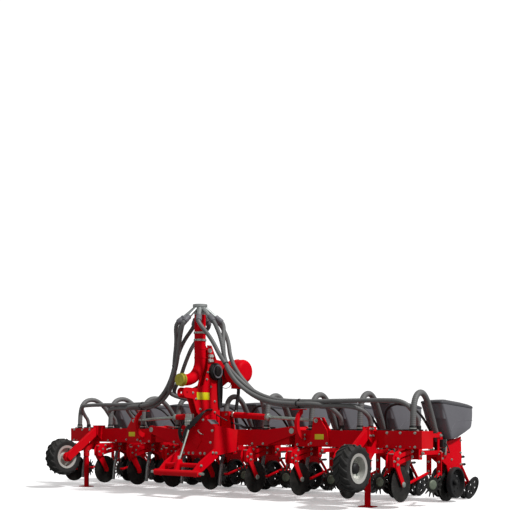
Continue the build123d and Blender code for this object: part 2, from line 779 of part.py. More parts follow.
with BuildPart() as frame_unit:
    for side in SIDES.values():
        side_plate(UNIT_OUTLINE, side * PLATE_X, side * (PLATE_X + PLATE))
        side_plate(
            [(BEAM_REAR, 560.0), (HEAD_REAR, 560.0), (HEAD_REAR, BEAM_TOP), (BEAM_REAR, BEAM_TOP)],
            side * PLATE_X,
            side * (PLATE_X + PLATE),
        )
        for link_z in (UPPER_LINK_Z, LOWER_LINK_Z):
            side_plate(
                [
                    (LINK_FRONT_Y - 20, link_z - LINK_HEIGHT / 2),
                    (LINK_REAR_Y + 20, link_z - LINK_HEIGHT / 2),
                    (LINK_REAR_Y + 20, link_z + LINK_HEIGHT / 2),
                    (LINK_FRONT_Y - 20, link_z + LINK_HEIGHT / 2),
                ],
                side * (PLATE_X + PLATE),
                side * (PLATE_X + PLATE + 14),
            )
        # gauge-wheel stub axle
        stub_root = (side * PLATE_X, GAUGE_Y, GAUGE_Z)
        round_bar(stub_root, (side * (GAUGE_X[1] - 6), GAUGE_Y, GAUGE_Z), GAUGE_AXLE_R)
        round_bar(stub_root, (side * (GAUGE_X[0] - 5), GAUGE_Y, GAUGE_Z), 32)
        # row-cleaner hanger and arm
        front_plate(
            [
                (side * 40, 650.0),
                (side * 105, 650.0),
                (side * 105, 350.0),
                (side * 40, 350.0),
            ],
            FACE_Y,
            FACE_Y + 16,
        )
        star_stub = [star_point(side, -STAR_HUB - reach) for reach in (0, 45)]
        round_bar(star_stub[0], star_stub[1], 18)
        round_bar(star_stub[1], (side * 80, FACE_Y + 8, 380.0), 18)
        # closing-wheel arm
        round_bar((side * (PLATE_X + 6), 890.0, 470.0), (side * 30, CLOSING_Y, 210.0), 20)
        round_bar((side * 20, CLOSING_Y, 205.0), closing_point(side, 45), 18)
        round_bar(closing_point(side, 50), closing_point(side, CLOSING_HALF_WIDTH), 18)
    block(-PLATE_X - 2, PLATE_X + 2, 860, 890, 430, 800)
    block(-PLATE_X - 2, PLATE_X + 2, HEAD_REAR - 14, HEAD_REAR, 560, BEAM_TOP)
    block(-105, 105, FACE_Y, FACE_Y + 16, 580, 650)
    block(-PLATE_X - 2, PLATE_X + 2, 560, 700, 480, 500)
    round_bar((-34, CLOSING_Y, 210.0), (34, CLOSING_Y, 210.0), 24)

# Hopper of one row: a moulded bin with sloping ends, open at the top

HOPPER_OUTLINE = [
    (220.0, 1250.0),
    (424.0, 887.0),
    (484.0, 800.0),
    (666.0, 816.0),
    (1021.0, 941.0),
    (1052.0, 1110.0),
    (1046.0, 1190.0),
]
HOPPER_INSIDE = [
    (234.0, 1260.0),
    (432.0, 892.0),
    (488.0, 810.0),
    (664.0, 825.0),
    (1014.0, 948.0),
    (1043.0, 1110.0),
    (1037.0, 1260.0),
]

with BuildPart() as hopper_unit:
    side_plate(HOPPER_OUTLINE, -HOPPER_HALF, HOPPER_HALF)
    fillet(hopper_unit.edges().filter_by(Axis.X, reverse=True).group_by(Axis.Z)[0], 20)
    side_plate(HOPPER_INSIDE, -HOPPER_HALF + HOPPER_WALL, HOPPER_HALF - HOPPER_WALL, mode=Mode.SUBTRACT)

# Lid of one row: a shallow cap that falls to the rear

LID_HALF = HOPPER_HALF + LID_OVERHANG
LID_FRONT = 212.0
LID_REAR = 1056.0


def rim_z(y):
    """Height of the hopper's sloping rim."""
    (front_y, front_z), (rear_y, rear_z) = HOPPER_OUTLINE[0], HOPPER_OUTLINE[-1]
    return front_z + (rear_z - front_z) * (y - front_y) / (rear_y - front_y)


with BuildPart() as lid_unit:
    front_foot = (LID_FRONT, rim_z(LID_FRONT) + LID_GAP)
    rear_foot = (LID_REAR, rim_z(LID_REAR) + LID_GAP)
    with BuildSketch(Plane.YZ.offset(-LID_HALF)):
        with BuildLine():
            Line(front_foot, (LID_FRONT, 1285))
            ThreePointArc((LID_FRONT, 1285), (590, 1308), (LID_REAR, 1225))
            Line((LID_REAR, 1225), rear_foot)
            Line(rear_foot, front_foot)
        make_face()
    extrude(amount=2 * LID_HALF)

# Meter of one row under its hopper, with the two depth handles


def hopper_floor(y):
    """Height of the hopper's sloping underside."""
    (front_y, front_z), (rear_y, rear_z) = HOPPER_OUTLINE[2], HOPPER_OUTLINE[3]
    return front_z + (rear_z - front_z) * (y - front_y) / (rear_y - front_y)


with BuildPart() as meter_unit:
    round_bar((-PLATE_X + 4, METER_Y, METER_Z), (PLATE_X - 4, METER_Y, METER_Z), METER_R)
    inlet = Vector(*LOOP_END) * 2 - Vector(*LOOP_BEFORE_END)
    round_bar(LOOP_END, tuple(inlet), LOOP_R + 3)
    side_plate([(490, 760), (600, 760), (600, hopper_floor(600)), (490, hopper_floor(490))], -40, 40)
    for handle_z, length in ((560.0, 120.0), (460.0, 150.0)):
        round_bar((0, 890, handle_z), (0, 890 + length, handle_z), 11)

# Ground tools of one row: double-disc opener, row-cleaner stars, closing wheels

with BuildPart() as tool_unit:
    opener_z = OPENER_R + OPENER_BOTTOM
    for side in SIDES.values():
        toe = math.radians(OPENER_TOE)
        outward = (side * math.cos(toe), -math.sin(toe), 0)
        opener_plane = Plane(origin=(side * 16, OPENER_Y, opener_z), z_dir=outward)
        with BuildSketch(opener_plane, mode=Mode.PRIVATE) as disc:
            Circle(OPENER_R)
        extrude(disc.sketch, amount=5)
    round_bar((-22, OPENER_Y, opener_z), (22, OPENER_Y, opener_z), 30)
    side_plate([(590, 480), (690, 480), (660, 190), (590, 190)], -7, 7)
    for side in SIDES.values():
        toe = math.radians(STAR_TOE)
        outward = (side * math.cos(toe), -math.sin(toe), 0)
        star_plane = Plane(origin=(side * STAR_X, STAR_Y, STAR_Z), z_dir=outward)
        with BuildSketch(star_plane, mode=Mode.PRIVATE) as star:
            Circle(STAR_R * 0.66)
            with PolarLocations(STAR_R * 0.8, STAR_TINES):
                Rectangle(STAR_R * 0.4, 16)
        extrude(star.sketch, amount=4, both=True)
        round_bar(star_point(side, 0), star_point(side, 14), 60)
        round_bar(star_point(side, -STAR_HUB), star_point(side, 0), 26)
        spin = (side * math.cos(CLOSING_TILT), 0, -math.sin(CLOSING_TILT))
        closing_plane = Plane(origin=closing_point(side, 0), z_dir=spin)
        with BuildSketch(closing_plane, mode=Mode.PRIVATE) as closing:
            Circle(CLOSING_R)
            with PolarLocations(CLOSING_R * 0.6, 5):
                Circle(CLOSING_R * 0.2, mode=Mode.SUBTRACT)
        extrude(closing.sketch, amount=CLOSING_HALF_WIDTH, both=True)

# Gauge wheels of one row, a pair on the stub axles

with BuildPart() as gauge_unit:
    for side in SIDES.values():
        gauge_plane = Plane(origin=(side * GAUGE_X[0], GAUGE_Y, GAUGE_Z), z_dir=(side, 0, 0))
        with BuildSketch(gauge_plane, mode=Mode.PRIVATE) as gauge:
            Circle(GAUGE_R)
            Circle(GAUGE_AXLE_R + PIN_CLEARANCE, mode=Mode.SUBTRACT)
        extrude(gauge.sketch, amount=GAUGE_X[1] - GAUGE_X[0])

# Coulter of a row on the right: arms, head, leg and drop tube, with the disc on its stub axle

ARM_HALF = 40.0
LEG_X = (COULTER_OFFSET + 22.0, COULTER_OFFSET + 38.0)

with BuildPart() as coulter_unit:
    for side in SIDES.values():
        for front_z, rear_z in ((600.0, 672.0), (525.0, 605.0)):
            side_plate(
                [
                    (-670, front_z - 24),
                    (-290, rear_z - 24),
                    (-290, rear_z + 24),
                    (-670, front_z + 24),
                ],
                side * (ARM_HALF - 12),
                side * ARM_HALF,
            )
    block(-ARM_HALF + 10, ARM_HALF - 10, -700, -640, 490, 640)
    block(-ARM_HALF, ARM_HALF, -330, -290, 600, BEAM_BOTTOM)
    side_plate(
        [
            (-700, 620),
            (-640, 620),
            (-610, 460),
            (COULTER_Y + 35, COULTER_Z),
            (COULTER_Y, COULTER_Z - 35),
            (COULTER_Y - 35, COULTER_Z),
            (-700, 480),
        ],
        *LEG_X,
    )
    block(0, LEG_X[1], -700, -645, 500, 620)
    round_bar((COULTER_OFFSET - 18, COULTER_Y, COULTER_Z), (LEG_X[1], COULTER_Y, COULTER_Z), COULTER_AXLE_R)
    hose([(0, -310, 610), (0, -330, 520), (0, -370, 380), (0, -400, 120)], 20)

with BuildPart() as disc_unit:
    disc_x = COULTER_OFFSET
    round_bar((disc_x - 3, COULTER_Y, COULTER_Z), (disc_x + 3, COULTER_Y, COULTER_Z), COULTER_R)
    round_bar((disc_x - 18, COULTER_Y, COULTER_Z), (disc_x + 18, COULTER_Y, COULTER_Z), 38)
    round_bar(
        (disc_x - 30, COULTER_Y, COULTER_Z),
        (disc_x + 30, COULTER_Y, COULTER_Z),
        COULTER_AXLE_R + PIN_CLEARANCE,
        mode=Mode.SUBTRACT,
    )

# Air hose of one row: a loop from the beam's top over to the meter

with BuildPart() as loop_unit:
    hose(
        [
            (0, LOOP_FRONT_Y, BEAM_TOP),
            (0, LOOP_FRONT_Y, 1180),
            (0, -200, 1385),
            (0, 30, 1400),
            (0, 150, 1210),
            (0, 280, 1000),
            LOOP_BEFORE_END,
            LOOP_END,
        ],
        LOOP_R,
    )

UNITS = {
    "row_frames": frame_unit,
    "hoppers": hopper_unit,
    "meters": meter_unit,
    "ground_tools": tool_unit,
    "gauge_wheels": gauge_unit,
    "hose_loops": loop_unit,
}
for section, rows in SECTIONS.items():
    places = [(row * ROW_PITCH, 0, 0) for row in rows]
    for name, unit in UNITS.items():
        with BuildPart() as row_set:
            with Locations(*places):
                add(unit.part)
        keep(row_set, f"{name}_{section}")
    for row in rows:
        with BuildPart() as lid:
            with Locations((row * ROW_PITCH, 0, 0)):
                add(lid_unit.part)
        keep(lid, f"lid_{row + 5}")

# Coulters are handed: the left half and the middle row are mirrored

for section, rows in SECTIONS.items():
    for name, unit in (("coulters", coulter_unit), ("coulter_discs", disc_unit)):
        with BuildPart() as coulter_set:
            for row in rows:
                with Locations((row * ROW_PITCH, 0, 0)):
                    if row > 0:
                        add(unit.part)
                    else:
                        add(unit.part.mirror(Plane.YZ))
        keep(coulter_set, f"{name}_{section}")


# Main hoses: three to each wing, from the distributor over the hose bracket to the rows

HOSES = [
    # outlet, step to the front, step down, end X
    (1, 0.0, 0.0, 3075.0),
    (2, 0.0, -56.0, 2400.0),
    (3, -56.0, -28.0, 1960.0),
]


def main_hose(outlet, step_y, step_z, end_x):
    """One hose's points from its connector to the beam's top near its row."""
    start = outlet_point(outlet, OUTLET_SPREAD + 45, OUTLET_BOTTOM - 42)
    return [
        start,
        (start[0] + 60, start[1] + 5, start[2] - 170),
        (start[0] * 0.3 + 330, -700 + step_y, 1850 + step_z),
        (560, -610 + step_y, 1580 + step_z),
        (800, -550 + step_y, 1390 + step_z),
        (1100, -500 + step_y, 1290 + step_z),
        (1500, HOSE_Y + step_y, HOSE_Z + step_z),
        (end_x - 280, HOSE_Y + step_y, HOSE_Z + step_z + 5),
        (end_x - 60, HOSE_Y + step_y * 0.5 + 40, HOSE_Z + step_z - 20),
        (end_x, -300, 1120),
        (end_x, HOSE_FOOT_Y, BEAM_TOP + 120),
        (end_x, HOSE_FOOT_Y, BEAM_TOP),
    ]


with BuildPart() as main_hoses_right:
    for outlet, step_y, step_z, end_x in HOSES:
        hose(main_hose(outlet, step_y, step_z, end_x), HOSE_R)
keep(main_hoses_right, "main_hoses_right")

with BuildPart() as main_hoses_left:
    mirror(main_hoses_right.part, about=Plane.YZ)
keep(main_hoses_left, "main_hoses_left")
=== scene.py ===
# %% [markdown]
# # A folding nine-row precision planter
#
# A planter of this kind hangs on a tractor's three-point linkage. A tower in the middle blows
# fertiliser through nine pipes, two wings fold up, and nine row units hang behind the beam. The CAD
# model already holds every piece that carries load. This file dresses it: it loads that model as a
# fixed frame and adds hoses, tyres, mouldings, tools, fasteners and finishes. Lengths in the cells
# are millimetres in the CAD frame, with X across the rows, Y to the rear and Z up.

# %% The frame
import json
import math

import bmesh
import bpy
import numpy as np
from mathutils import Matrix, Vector


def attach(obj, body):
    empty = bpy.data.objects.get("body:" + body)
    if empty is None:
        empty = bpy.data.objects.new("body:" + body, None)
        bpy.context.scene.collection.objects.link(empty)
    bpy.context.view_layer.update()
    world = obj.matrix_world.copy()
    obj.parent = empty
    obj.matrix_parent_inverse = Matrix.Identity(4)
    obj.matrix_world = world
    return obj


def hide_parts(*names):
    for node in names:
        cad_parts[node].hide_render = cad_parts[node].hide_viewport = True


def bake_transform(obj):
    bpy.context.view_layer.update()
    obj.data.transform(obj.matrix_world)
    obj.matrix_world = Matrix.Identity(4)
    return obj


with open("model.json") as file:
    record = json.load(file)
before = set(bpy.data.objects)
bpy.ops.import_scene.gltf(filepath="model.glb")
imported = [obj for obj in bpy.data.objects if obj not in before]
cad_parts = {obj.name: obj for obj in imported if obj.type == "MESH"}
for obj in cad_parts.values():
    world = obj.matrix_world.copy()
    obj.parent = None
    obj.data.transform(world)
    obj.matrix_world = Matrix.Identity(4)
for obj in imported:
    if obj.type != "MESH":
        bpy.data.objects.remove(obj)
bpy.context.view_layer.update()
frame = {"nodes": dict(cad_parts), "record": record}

MM = 0.001
PITCH = 750.0
SECTIONS = {"centre": (-1, 0, 1), "left": (-4, -3, -2), "right": (2, 3, 4)}
CARRIER = {"centre": "centre", "left": "wing_left", "right": "wing_right"}
SIDES = {"left": -1, "right": 1}

# %% [markdown]
# ## Shapes as arrays
#
# A mesh could be drawn by hand or with Blender's operators. Here a shape is a pair of arrays: its
# points, and groups of faces that have as many corners as each other. A shape can then be copied,
# mirrored and joined by plain arithmetic, nine rows at a time, before it becomes a mesh.

# %% Joining and placing shapes


def grid(rows, columns):
    """Quads of a grid of points that is closed round its columns: each cell joins four neighbours."""
    low = np.arange(rows - 1)[:, None] * columns
    here = np.arange(columns)[None, :]
    after = (here + 1) % columns
    return np.stack([low + here, low + after, low + columns + after, low + columns + here], -1).reshape(-1, 4)


def join(*shapes):
    """Several shapes as one: the faces of each are counted on from the points before it."""
    starts = np.cumsum([0] + [len(points) for points, _ in shapes])
    faces = [group + start for (_, groups), start in zip(shapes, starts) for group in groups]
    return np.concatenate([points for points, _ in shapes]), faces


def moved(shape, offset):
    """A shape with one offset added to every point."""
    return shape[0] + np.array(offset, float), shape[1]


def flipped(shape):
    """A shape with X negated, and its faces read backwards so that they still point out."""
    return shape[0] * np.array([-1.0, 1.0, 1.0]), [group[:, ::-1] for group in shape[1]]


def on_side(shape, sign):
    """A shape made on the right: kept for a positive sign, and mirrored for any other."""
    return shape if sign > 0 else flipped(shape)


def basis(axis):
    """Three unit vectors at right angles, the last along an axis."""
    z = np.array(axis, float) / np.linalg.norm(axis)
    x = np.cross((0, 0, 1) if abs(z[2]) < 0.999 else (0, 1, 0), z)
    x /= np.linalg.norm(x)
    return np.stack([x, np.cross(z, x), z])


def aimed(shape, axis, origin=(0, 0, 0)):
    """A shape made along Z, turned so that Z lies along an axis, and moved to an origin."""
    return shape[0] @ basis(axis) + np.array(origin, float), shape[1]


def spun(shape, count, start=0.0):
    """Copies of a shape at equal angles round Z, each by a turn in the XY plane."""
    copies = []
    for angle in start + 2 * np.pi * np.arange(count) / count:
        turn = [[np.cos(angle), np.sin(angle), 0], [-np.sin(angle), np.cos(angle), 0], [0, 0, 1]]
        copies.append((shape[0] @ np.array(turn), shape[1]))
    return join(*copies)


def in_rows(shape, rows):
    """A row's shape, made at X = 0, in each of these rows."""
    return join(*[moved(shape, (row * PITCH, 0, 0)) for row in rows])


def handed(shape, rows, first=0):
    """A row's shape in each of these rows, mirrored in the rows before the first right-hand one."""
    return join(*[moved(on_side(shape, row - first + 1), (row * PITCH, 0, 0)) for row in rows])


print("rows:", sum(len(rows) for rows in SECTIONS.values()))

# %% [markdown]
# ## Turned, cut and swept forms
#
# Most pieces of a machine are turned on a lathe, cut from plate, or bent from tube. Each of those
# ways of making is one function of two parameters: round and along, round and up, or along and
# round. Plates get rounded edges, because a real edge always catches a thin line of light.

# %% Lathe and plate


def lathe(profile, segments=40):
    """A profile of (radius, height) points carried round Z: x = r cos a, y = r sin a, z = h."""
    profile = np.array(profile, float)
    turn = np.linspace(0, 2 * np.pi, segments, endpoint=False)
    x = np.outer(profile[:, 0], np.cos(turn))
    y = np.outer(profile[:, 0], np.sin(turn))
    z = np.repeat(profile[:, 1:], segments, axis=1)
    return np.stack([x, y, z], axis=-1).reshape(-1, 3), [grid(len(profile), segments)]


def stack(rings):
    """Closed rings of equal count joined from the first to the last, with both ends capped."""
    count = len(rings[0])
    points = np.concatenate(rings)
    ends = np.stack([np.arange(count)[::-1], np.arange(len(points) - count, len(points))])
    return points, [grid(len(rings), count), ends]


def prism(outline, low, high):
    """A plate: an outline of (x, y) points at one height and again at another."""
    outline = np.array(outline, float)
    return stack([np.column_stack([outline, np.full(len(outline), z)]) for z in (low, high)])


def side_prism(outline, x0, x1):
    """A plate of (y, z) points between two X values: a prism with its axes turned once round."""
    points, faces = prism(outline, x0, x1)
    return points[:, [2, 0, 1]], faces


def mesh_of(name, shape):
    """A mesh of a shape's points and faces, with double points merged and faces turned outwards."""
    mesh = bpy.data.meshes.new(name)
    mesh.from_pydata(shape[0].tolist(), [], [face for group in shape[1] for face in group.tolist()])
    mesh.validate()
    welded = bmesh.new()
    welded.from_mesh(mesh)
    bmesh.ops.remove_doubles(welded, verts=welded.verts, dist=1e-6)
    bmesh.ops.recalc_face_normals(welded, faces=welded.faces)
    welded.to_mesh(mesh)
    welded.free()
    return mesh


def shape_of(mesh):
    """A mesh read back as a shape, with its faces grouped by how many corners they have."""
    points = np.empty(len(mesh.vertices) * 3)
    corners = np.empty(len(mesh.loops), int)
    starts = np.empty(len(mesh.polygons), int)
    sizes = np.empty(len(mesh.polygons), int)
    mesh.vertices.foreach_get("co", points)
    mesh.loops.foreach_get("vertex_index", corners)
    mesh.polygons.foreach_get("loop_start", starts)
    mesh.polygons.foreach_get("loop_total", sizes)
    faces = [corners[starts[sizes == size][:, None] + np.arange(size)] for size in np.unique(sizes)]
    return points.reshape(-1, 3), faces


def rounded(shape, width, segments=2):
    """A shape whose edges sharper than about 23 degrees are bevelled to a width."""
    mesh = mesh_of("plate", shape)
    bevelled = bmesh.new()
    bevelled.from_mesh(mesh)
    sharp = [edge for edge in bevelled.edges if edge.calc_face_angle(0) > 0.4]
    bmesh.ops.bevel(bevelled, geom=sharp, offset=width, segments=segments, affect="EDGES", profile=0.6)
    bevelled.to_mesh(mesh)
    bevelled.free()
    result = shape_of(mesh)
    bpy.data.meshes.remove(mesh)
    return result


def slab(x0, x1, y0, y1, z0, z1, edge=3.0):
    """A box between two corners, with rounded edges."""
    return rounded(prism([(x0, y0), (x1, y0), (x1, y1), (x0, y1)], z0, z1), edge)


print("a slab's points:", len(slab(0, 1, 0, 1, 0, 1, 0.1)[0]))

# %% [markdown]
# ## Hoses and wires
#
# A hose's route is a short list of points. Blender's own NURBS curve turns it into a smooth line,
# and the points read back from that curve carry a ring each. A corrugated hose is the same sweep
# with a radius that rises and falls along the way.

# %% Sweeps


def spline(points):
    """Points on the NURBS curve of order 3 that has the route's points as its control points."""
    data = bpy.data.curves.new("route", "CURVE")
    data.dimensions = "3D"
    data.resolution_u = 16
    run = data.splines.new("NURBS")
    run.points.add(len(points) - 1)
    run.points.foreach_set("co", np.column_stack([points, np.ones(len(points))]).ravel())
    run.order_u = 3
    run.use_endpoint_u = True
    thing = bpy.data.objects.new("route", data)
    mesh = bpy.data.meshes.new_from_object(thing)
    found = np.empty(len(mesh.vertices) * 3)
    mesh.vertices.foreach_get("co", found)
    bpy.data.objects.remove(thing)
    bpy.data.curves.remove(data)
    bpy.data.meshes.remove(mesh)
    return found.reshape(-1, 3)


def even_path(path, step):
    """The same line with a point about every step: each axis is read off against the length so far."""
    gaps = np.linalg.norm(np.diff(path, axis=0), axis=1)
    along = np.concatenate([[0.0], np.cumsum(gaps)])
    places = np.linspace(0.0, along[-1], max(2, int(round(along[-1] / step)) + 1))
    return np.column_stack([np.interp(places, along, path[:, axis]) for axis in range(3)])


def tube(path, radii, segments=12):
    """A ring round each point of a path, square to it: point + r (across cos a + other sin a)."""
    path = np.array(path, float)
    way = np.gradient(path, axis=0)
    way /= np.linalg.norm(way, axis=1, keepdims=True)
    aside = np.eye(3)[np.argmin(np.abs(way).max(axis=0))]
    across = np.cross(way, aside)
    across /= np.linalg.norm(across, axis=1, keepdims=True)
    other = np.cross(way, across)
    turn = np.linspace(0, 2 * np.pi, segments, endpoint=False)[None, :, None]
    ring = across[:, None] * np.cos(turn) + other[:, None] * np.sin(turn)
    radii = np.broadcast_to(np.array(radii, float), (len(path),))
    return stack(list(path[:, None] + radii[:, None, None] * ring))


def ribbed(points, radius, pitch, depth, segments=14):
    """A corrugated hose: its radius drops by a depth between ribs that are a pitch apart."""
    path = even_path(spline(points), pitch / 4)
    wave = np.array([1.0, 0.35, 0.0, 0.35])[np.arange(len(path)) % 4]
    return tube(path, radius - depth * (1 - wave), segments)


def line(points, radius, segments=8, step=14.0):
    """A smooth pipe or cable along a route."""
    return tube(even_path(spline(points), step), radius, segments)


def rod(start, end, radius, segments=16):
    """A straight round bar with its ends turned down a little."""
    start, end = np.array(start, float), np.array(end, float)
    length = np.linalg.norm(end - start)
    nib = min(radius * 0.2, length * 0.2)
    turned = [
        (0, 0), (radius - nib, 0), (radius, nib),
        (radius, length - nib), (radius - nib, length), (0, length),
    ]
    return aimed(lathe(turned, segments), end - start, start)


def coil(start, end, radius, wire, turns, steps=14):
    """A coil spring: a point that goes round the line between two points as it moves along it."""
    start, end = np.array(start, float), np.array(end, float)
    x, y, _ = basis(end - start)
    share = np.linspace(0, 1, turns * steps + 1)[:, None]
    turn = 2 * np.pi * turns * share
    return tube(start + (end - start) * share + radius * (np.cos(turn) * x + np.sin(turn) * y), wire, 6)


print("a test hose has", len(line([(0, 0, 0), (0, 0, 300), (0, 300, 300)], 10)[0]), "points")

# %% [markdown]
# ## From arrays to objects
#
# `piece` puts a shape into a mesh, welds its seams, turns its faces outwards and shades it smooth
# except at sharp edges. The object stays at the origin with its place in its mesh, and it rides on
# a CAD body, so that it moves when that body does.

# %% Piece


def linked(name, data):
    """An object that shows this data, put into the scene."""
    thing = bpy.data.objects.new(name, data)
    bpy.context.scene.collection.objects.link(thing)
    return thing


def piece(name, shape, material, body, smooth=38.0):
    """A shape, in millimetres, as an object that rides on a body and takes the given finish."""
    mesh = mesh_of(name, (shape[0] * MM, shape[1]))
    mesh.polygons.foreach_set("use_smooth", np.ones(len(mesh.polygons), bool))
    mesh.set_sharp_from_angle(angle=math.radians(smooth))
    thing = linked(name, mesh)
    mesh.materials.append(material)
    if body:
        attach(thing, body)
    print(name, len(mesh.polygons), "faces")
    return thing


# %% [markdown]
# ## Finishes
#
# Paint, zinc, rubber and plastic differ in colour and gloss, but they age alike: tones drift in
# soft patches, a fine grain breaks the highlight, dust settles on what faces up, and edges wear and
# get a painted edge highlight. One node group makes those effects from Object coordinates, and each
# material gives it its own values.

# %% The shared surface
SOCKETS = [
    ("Colour", "NodeSocketColor", (0.5, 0.5, 0.5, 1)),
    ("Tint", "NodeSocketColor", (0.4, 0.4, 0.4, 1)),
    ("Worn", "NodeSocketColor", (0.4, 0.4, 0.4, 1)),
    ("Wear", "NodeSocketFloat", 0.2),
    ("Patch scale", "NodeSocketFloat", 6.0),
    ("Grain scale", "NodeSocketFloat", 300.0),
    ("Grain depth", "NodeSocketFloat", 0.1),
    ("Roughness", "NodeSocketFloat", 0.4),
    ("Dust", "NodeSocketFloat", 0.1),
]
RESULTS = [
    ("Colour", "NodeSocketColor"),
    ("Roughness", "NodeSocketFloat"),
    ("Normal", "NodeSocketVector"),
]
DUST_COLOUR = (0.36, 0.31, 0.25, 1)


def surface_group():
    """Colour drifts by noise, wear and a painted edge highlight show where the surface is pointed, dust where
    it faces up.
    """
    group = bpy.data.node_groups.new("worked_surface", "ShaderNodeTree")
    for name, kind, value in SOCKETS:
        group.interface.new_socket(name, in_out="INPUT", socket_type=kind).default_value = value
    for name, kind in RESULTS:
        group.interface.new_socket(name, in_out="OUTPUT", socket_type=kind)
    make = group.nodes.new
    link = group.links.new
    enter = make("NodeGroupInput")
    leave = make("NodeGroupOutput")
    place = make("ShaderNodeTexCoord")

    def noise(scale, detail):
        """A noise on Object coordinates at the scale that a socket of the group gives."""
        node = make("ShaderNodeTexNoise")
        node.inputs["Detail"].default_value = detail
        link(place.outputs["Object"], node.inputs["Vector"])
        link(enter.outputs[scale], node.inputs["Scale"])
        return node.outputs["Fac"]

    def spread(value, low, high):
        """A value stretched so that low becomes 0 and high becomes 1."""
        node = make("ShaderNodeMapRange")
        node.inputs["From Min"].default_value = low
        node.inputs["From Max"].default_value = high
        link(value, node.inputs["Value"])
        return node.outputs["Result"]

    def times(first, second):
        """The product of two values."""
        node = make("ShaderNodeMath")
        node.operation = "MULTIPLY"
        link(first, node.inputs[0])
        link(second, node.inputs[1])
        return node.outputs[0]

    def mixed(share, first, second):
        """A colour between two, by a share."""
        node = make("ShaderNodeMix")
        node.data_type = "RGBA"
        link(share, node.inputs["Factor"])
        link(first, node.inputs["A"])
        if isinstance(second, tuple):
            node.inputs["B"].default_value = second
        else:
            link(second, node.inputs["B"])
        return node.outputs["Result"]

    patches = noise("Patch scale", 5)
    drift = spread(patches, 0.35, 0.68)
    tone = mixed(drift, enter.outputs["Colour"], enter.outputs["Tint"])
    pointed = make("ShaderNodeNewGeometry").outputs["Pointiness"]
    # pointed edges take the worn colour: partly edge wear, partly a painted edge highlight
    rubbed_and_highlit = times(spread(pointed, 0.54, 0.64), times(drift, enter.outputs["Wear"]))
    worn_and_highlit = mixed(rubbed_and_highlit, tone, enter.outputs["Worn"])
    facing = make("ShaderNodeSeparateXYZ")
    link(place.outputs["Normal"], facing.inputs[0])
    settled = times(spread(facing.outputs["Z"], 0.3, 1.0), times(patches, enter.outputs["Dust"]))
    dusty = mixed(settled, worn_and_highlit, DUST_COLOUR)
    bump = make("ShaderNodeBump")
    bump.inputs["Distance"].default_value = 0.002
    link(noise("Grain scale", 3), bump.inputs["Height"])
    link(enter.outputs["Grain depth"], bump.inputs["Strength"])
    rough = make("ShaderNodeMath")
    rough.operation = "MULTIPLY_ADD"
    rough.inputs[1].default_value = 0.14
    link(drift, rough.inputs[0])
    link(enter.outputs["Roughness"], rough.inputs[2])
    link(dusty, leave.inputs["Colour"])
    link(rough.outputs[0], leave.inputs["Roughness"])
    link(bump.outputs["Normal"], leave.inputs["Normal"])
    return group


SURFACE = surface_group()
print("surface group:", len(SURFACE.nodes), "nodes")

# %% [markdown]
# ## The machine's materials
#
# The frame is red enamel, the fasteners are zinc with a greenish passivation, the hoppers and hoses
# are grey plastic, and the ground tools are dark steel. Each colour is read off the photograph, and
# each scale is in ripples per metre.

# %% Materials


def surface(name, colour, tint, worn_and_highlit, metallic=0.0, coat=0.0, specular=0.4, **sockets):
    """A material on the shared group; the other names are the group's sockets."""
    material = bpy.data.materials.new(name)
    material.use_nodes = True
    tree = material.node_tree
    shader = tree.nodes["Principled BSDF"]
    shader.inputs["Metallic"].default_value = metallic
    shader.inputs["Coat Weight"].default_value = coat
    shader.inputs["Specular IOR Level"].default_value = specular
    node = tree.nodes.new("ShaderNodeGroup")
    node.node_tree = SURFACE
    for key, value in (("Colour", colour), ("Tint", tint), ("Worn", worn_and_highlit)):
        node.inputs[key].default_value = (*value, 1)
    for key, value in sockets.items():
        node.inputs[key.replace("_", " ").capitalize()].default_value = value
    for key, target in (("Colour", "Base Color"), ("Roughness", "Roughness"), ("Normal", "Normal")):
        tree.links.new(node.outputs[key], shader.inputs[target])
    material.diffuse_color = (*colour, 1)
    return material


# the third colour of each finish goes on pointed edges: partly wear, partly a painted edge highlight
RED = surface("red_enamel", (0.68, 0.001, 0.009), (0.61, 0.001, 0.007), (0.72, 0.04, 0.04), specular=0.03,
              wear=0.3, patch_scale=2.5, grain_scale=420, grain_depth=0.05, roughness=0.40, dust=0.005)
ZINC = surface("zinc_plate", (0.44, 0.50, 0.45), (0.30, 0.37, 0.33), (0.60, 0.64, 0.60), metallic=0.75,
               wear=0.6, patch_scale=30, grain_scale=600, grain_depth=0.12, roughness=0.36, dust=0.05)
GALVANISED = surface("galvanised", (0.46, 0.48, 0.47), (0.32, 0.34, 0.34), (0.62, 0.62, 0.60), metallic=0.75,
                     wear=0.4, patch_scale=60, grain_scale=300, grain_depth=0.08, roughness=0.38, dust=0.04)
STEEL = surface("dark_steel", (0.014, 0.014, 0.013), (0.026, 0.025, 0.022), (0.16, 0.15, 0.14), metallic=0.2,
                specular=0.25, wear=0.8, patch_scale=14, grain_scale=260, grain_depth=0.25, roughness=0.42,
                dust=0.06)
HOPPER = surface("hopper_moulding", (0.150, 0.148, 0.164), (0.134, 0.132, 0.147), (0.16, 0.16, 0.17),
                 wear=0.5, patch_scale=3.0, grain_scale=900, grain_depth=0.22, roughness=0.42, dust=0.04)
BLACK = surface("black_moulding", (0.010, 0.010, 0.011), (0.017, 0.017, 0.017), (0.05, 0.05, 0.05),
                specular=0.25, wear=0.5, patch_scale=8, grain_scale=700, grain_depth=0.2, roughness=0.45,
                dust=0.05)
HOSE = surface("ribbed_hose", (0.150, 0.151, 0.150), (0.122, 0.123, 0.122), (0.15, 0.15, 0.14),
               wear=0.5, patch_scale=5, grain_scale=500, grain_depth=0.15, roughness=0.46, dust=0.05)
RUBBER = surface("tyre_rubber", (0.020, 0.020, 0.020), (0.028, 0.027, 0.026), (0.05, 0.05, 0.05),
                 specular=0.25, wear=0.6, patch_scale=10, grain_scale=520, grain_depth=0.35, roughness=0.62,
                 dust=0.10)
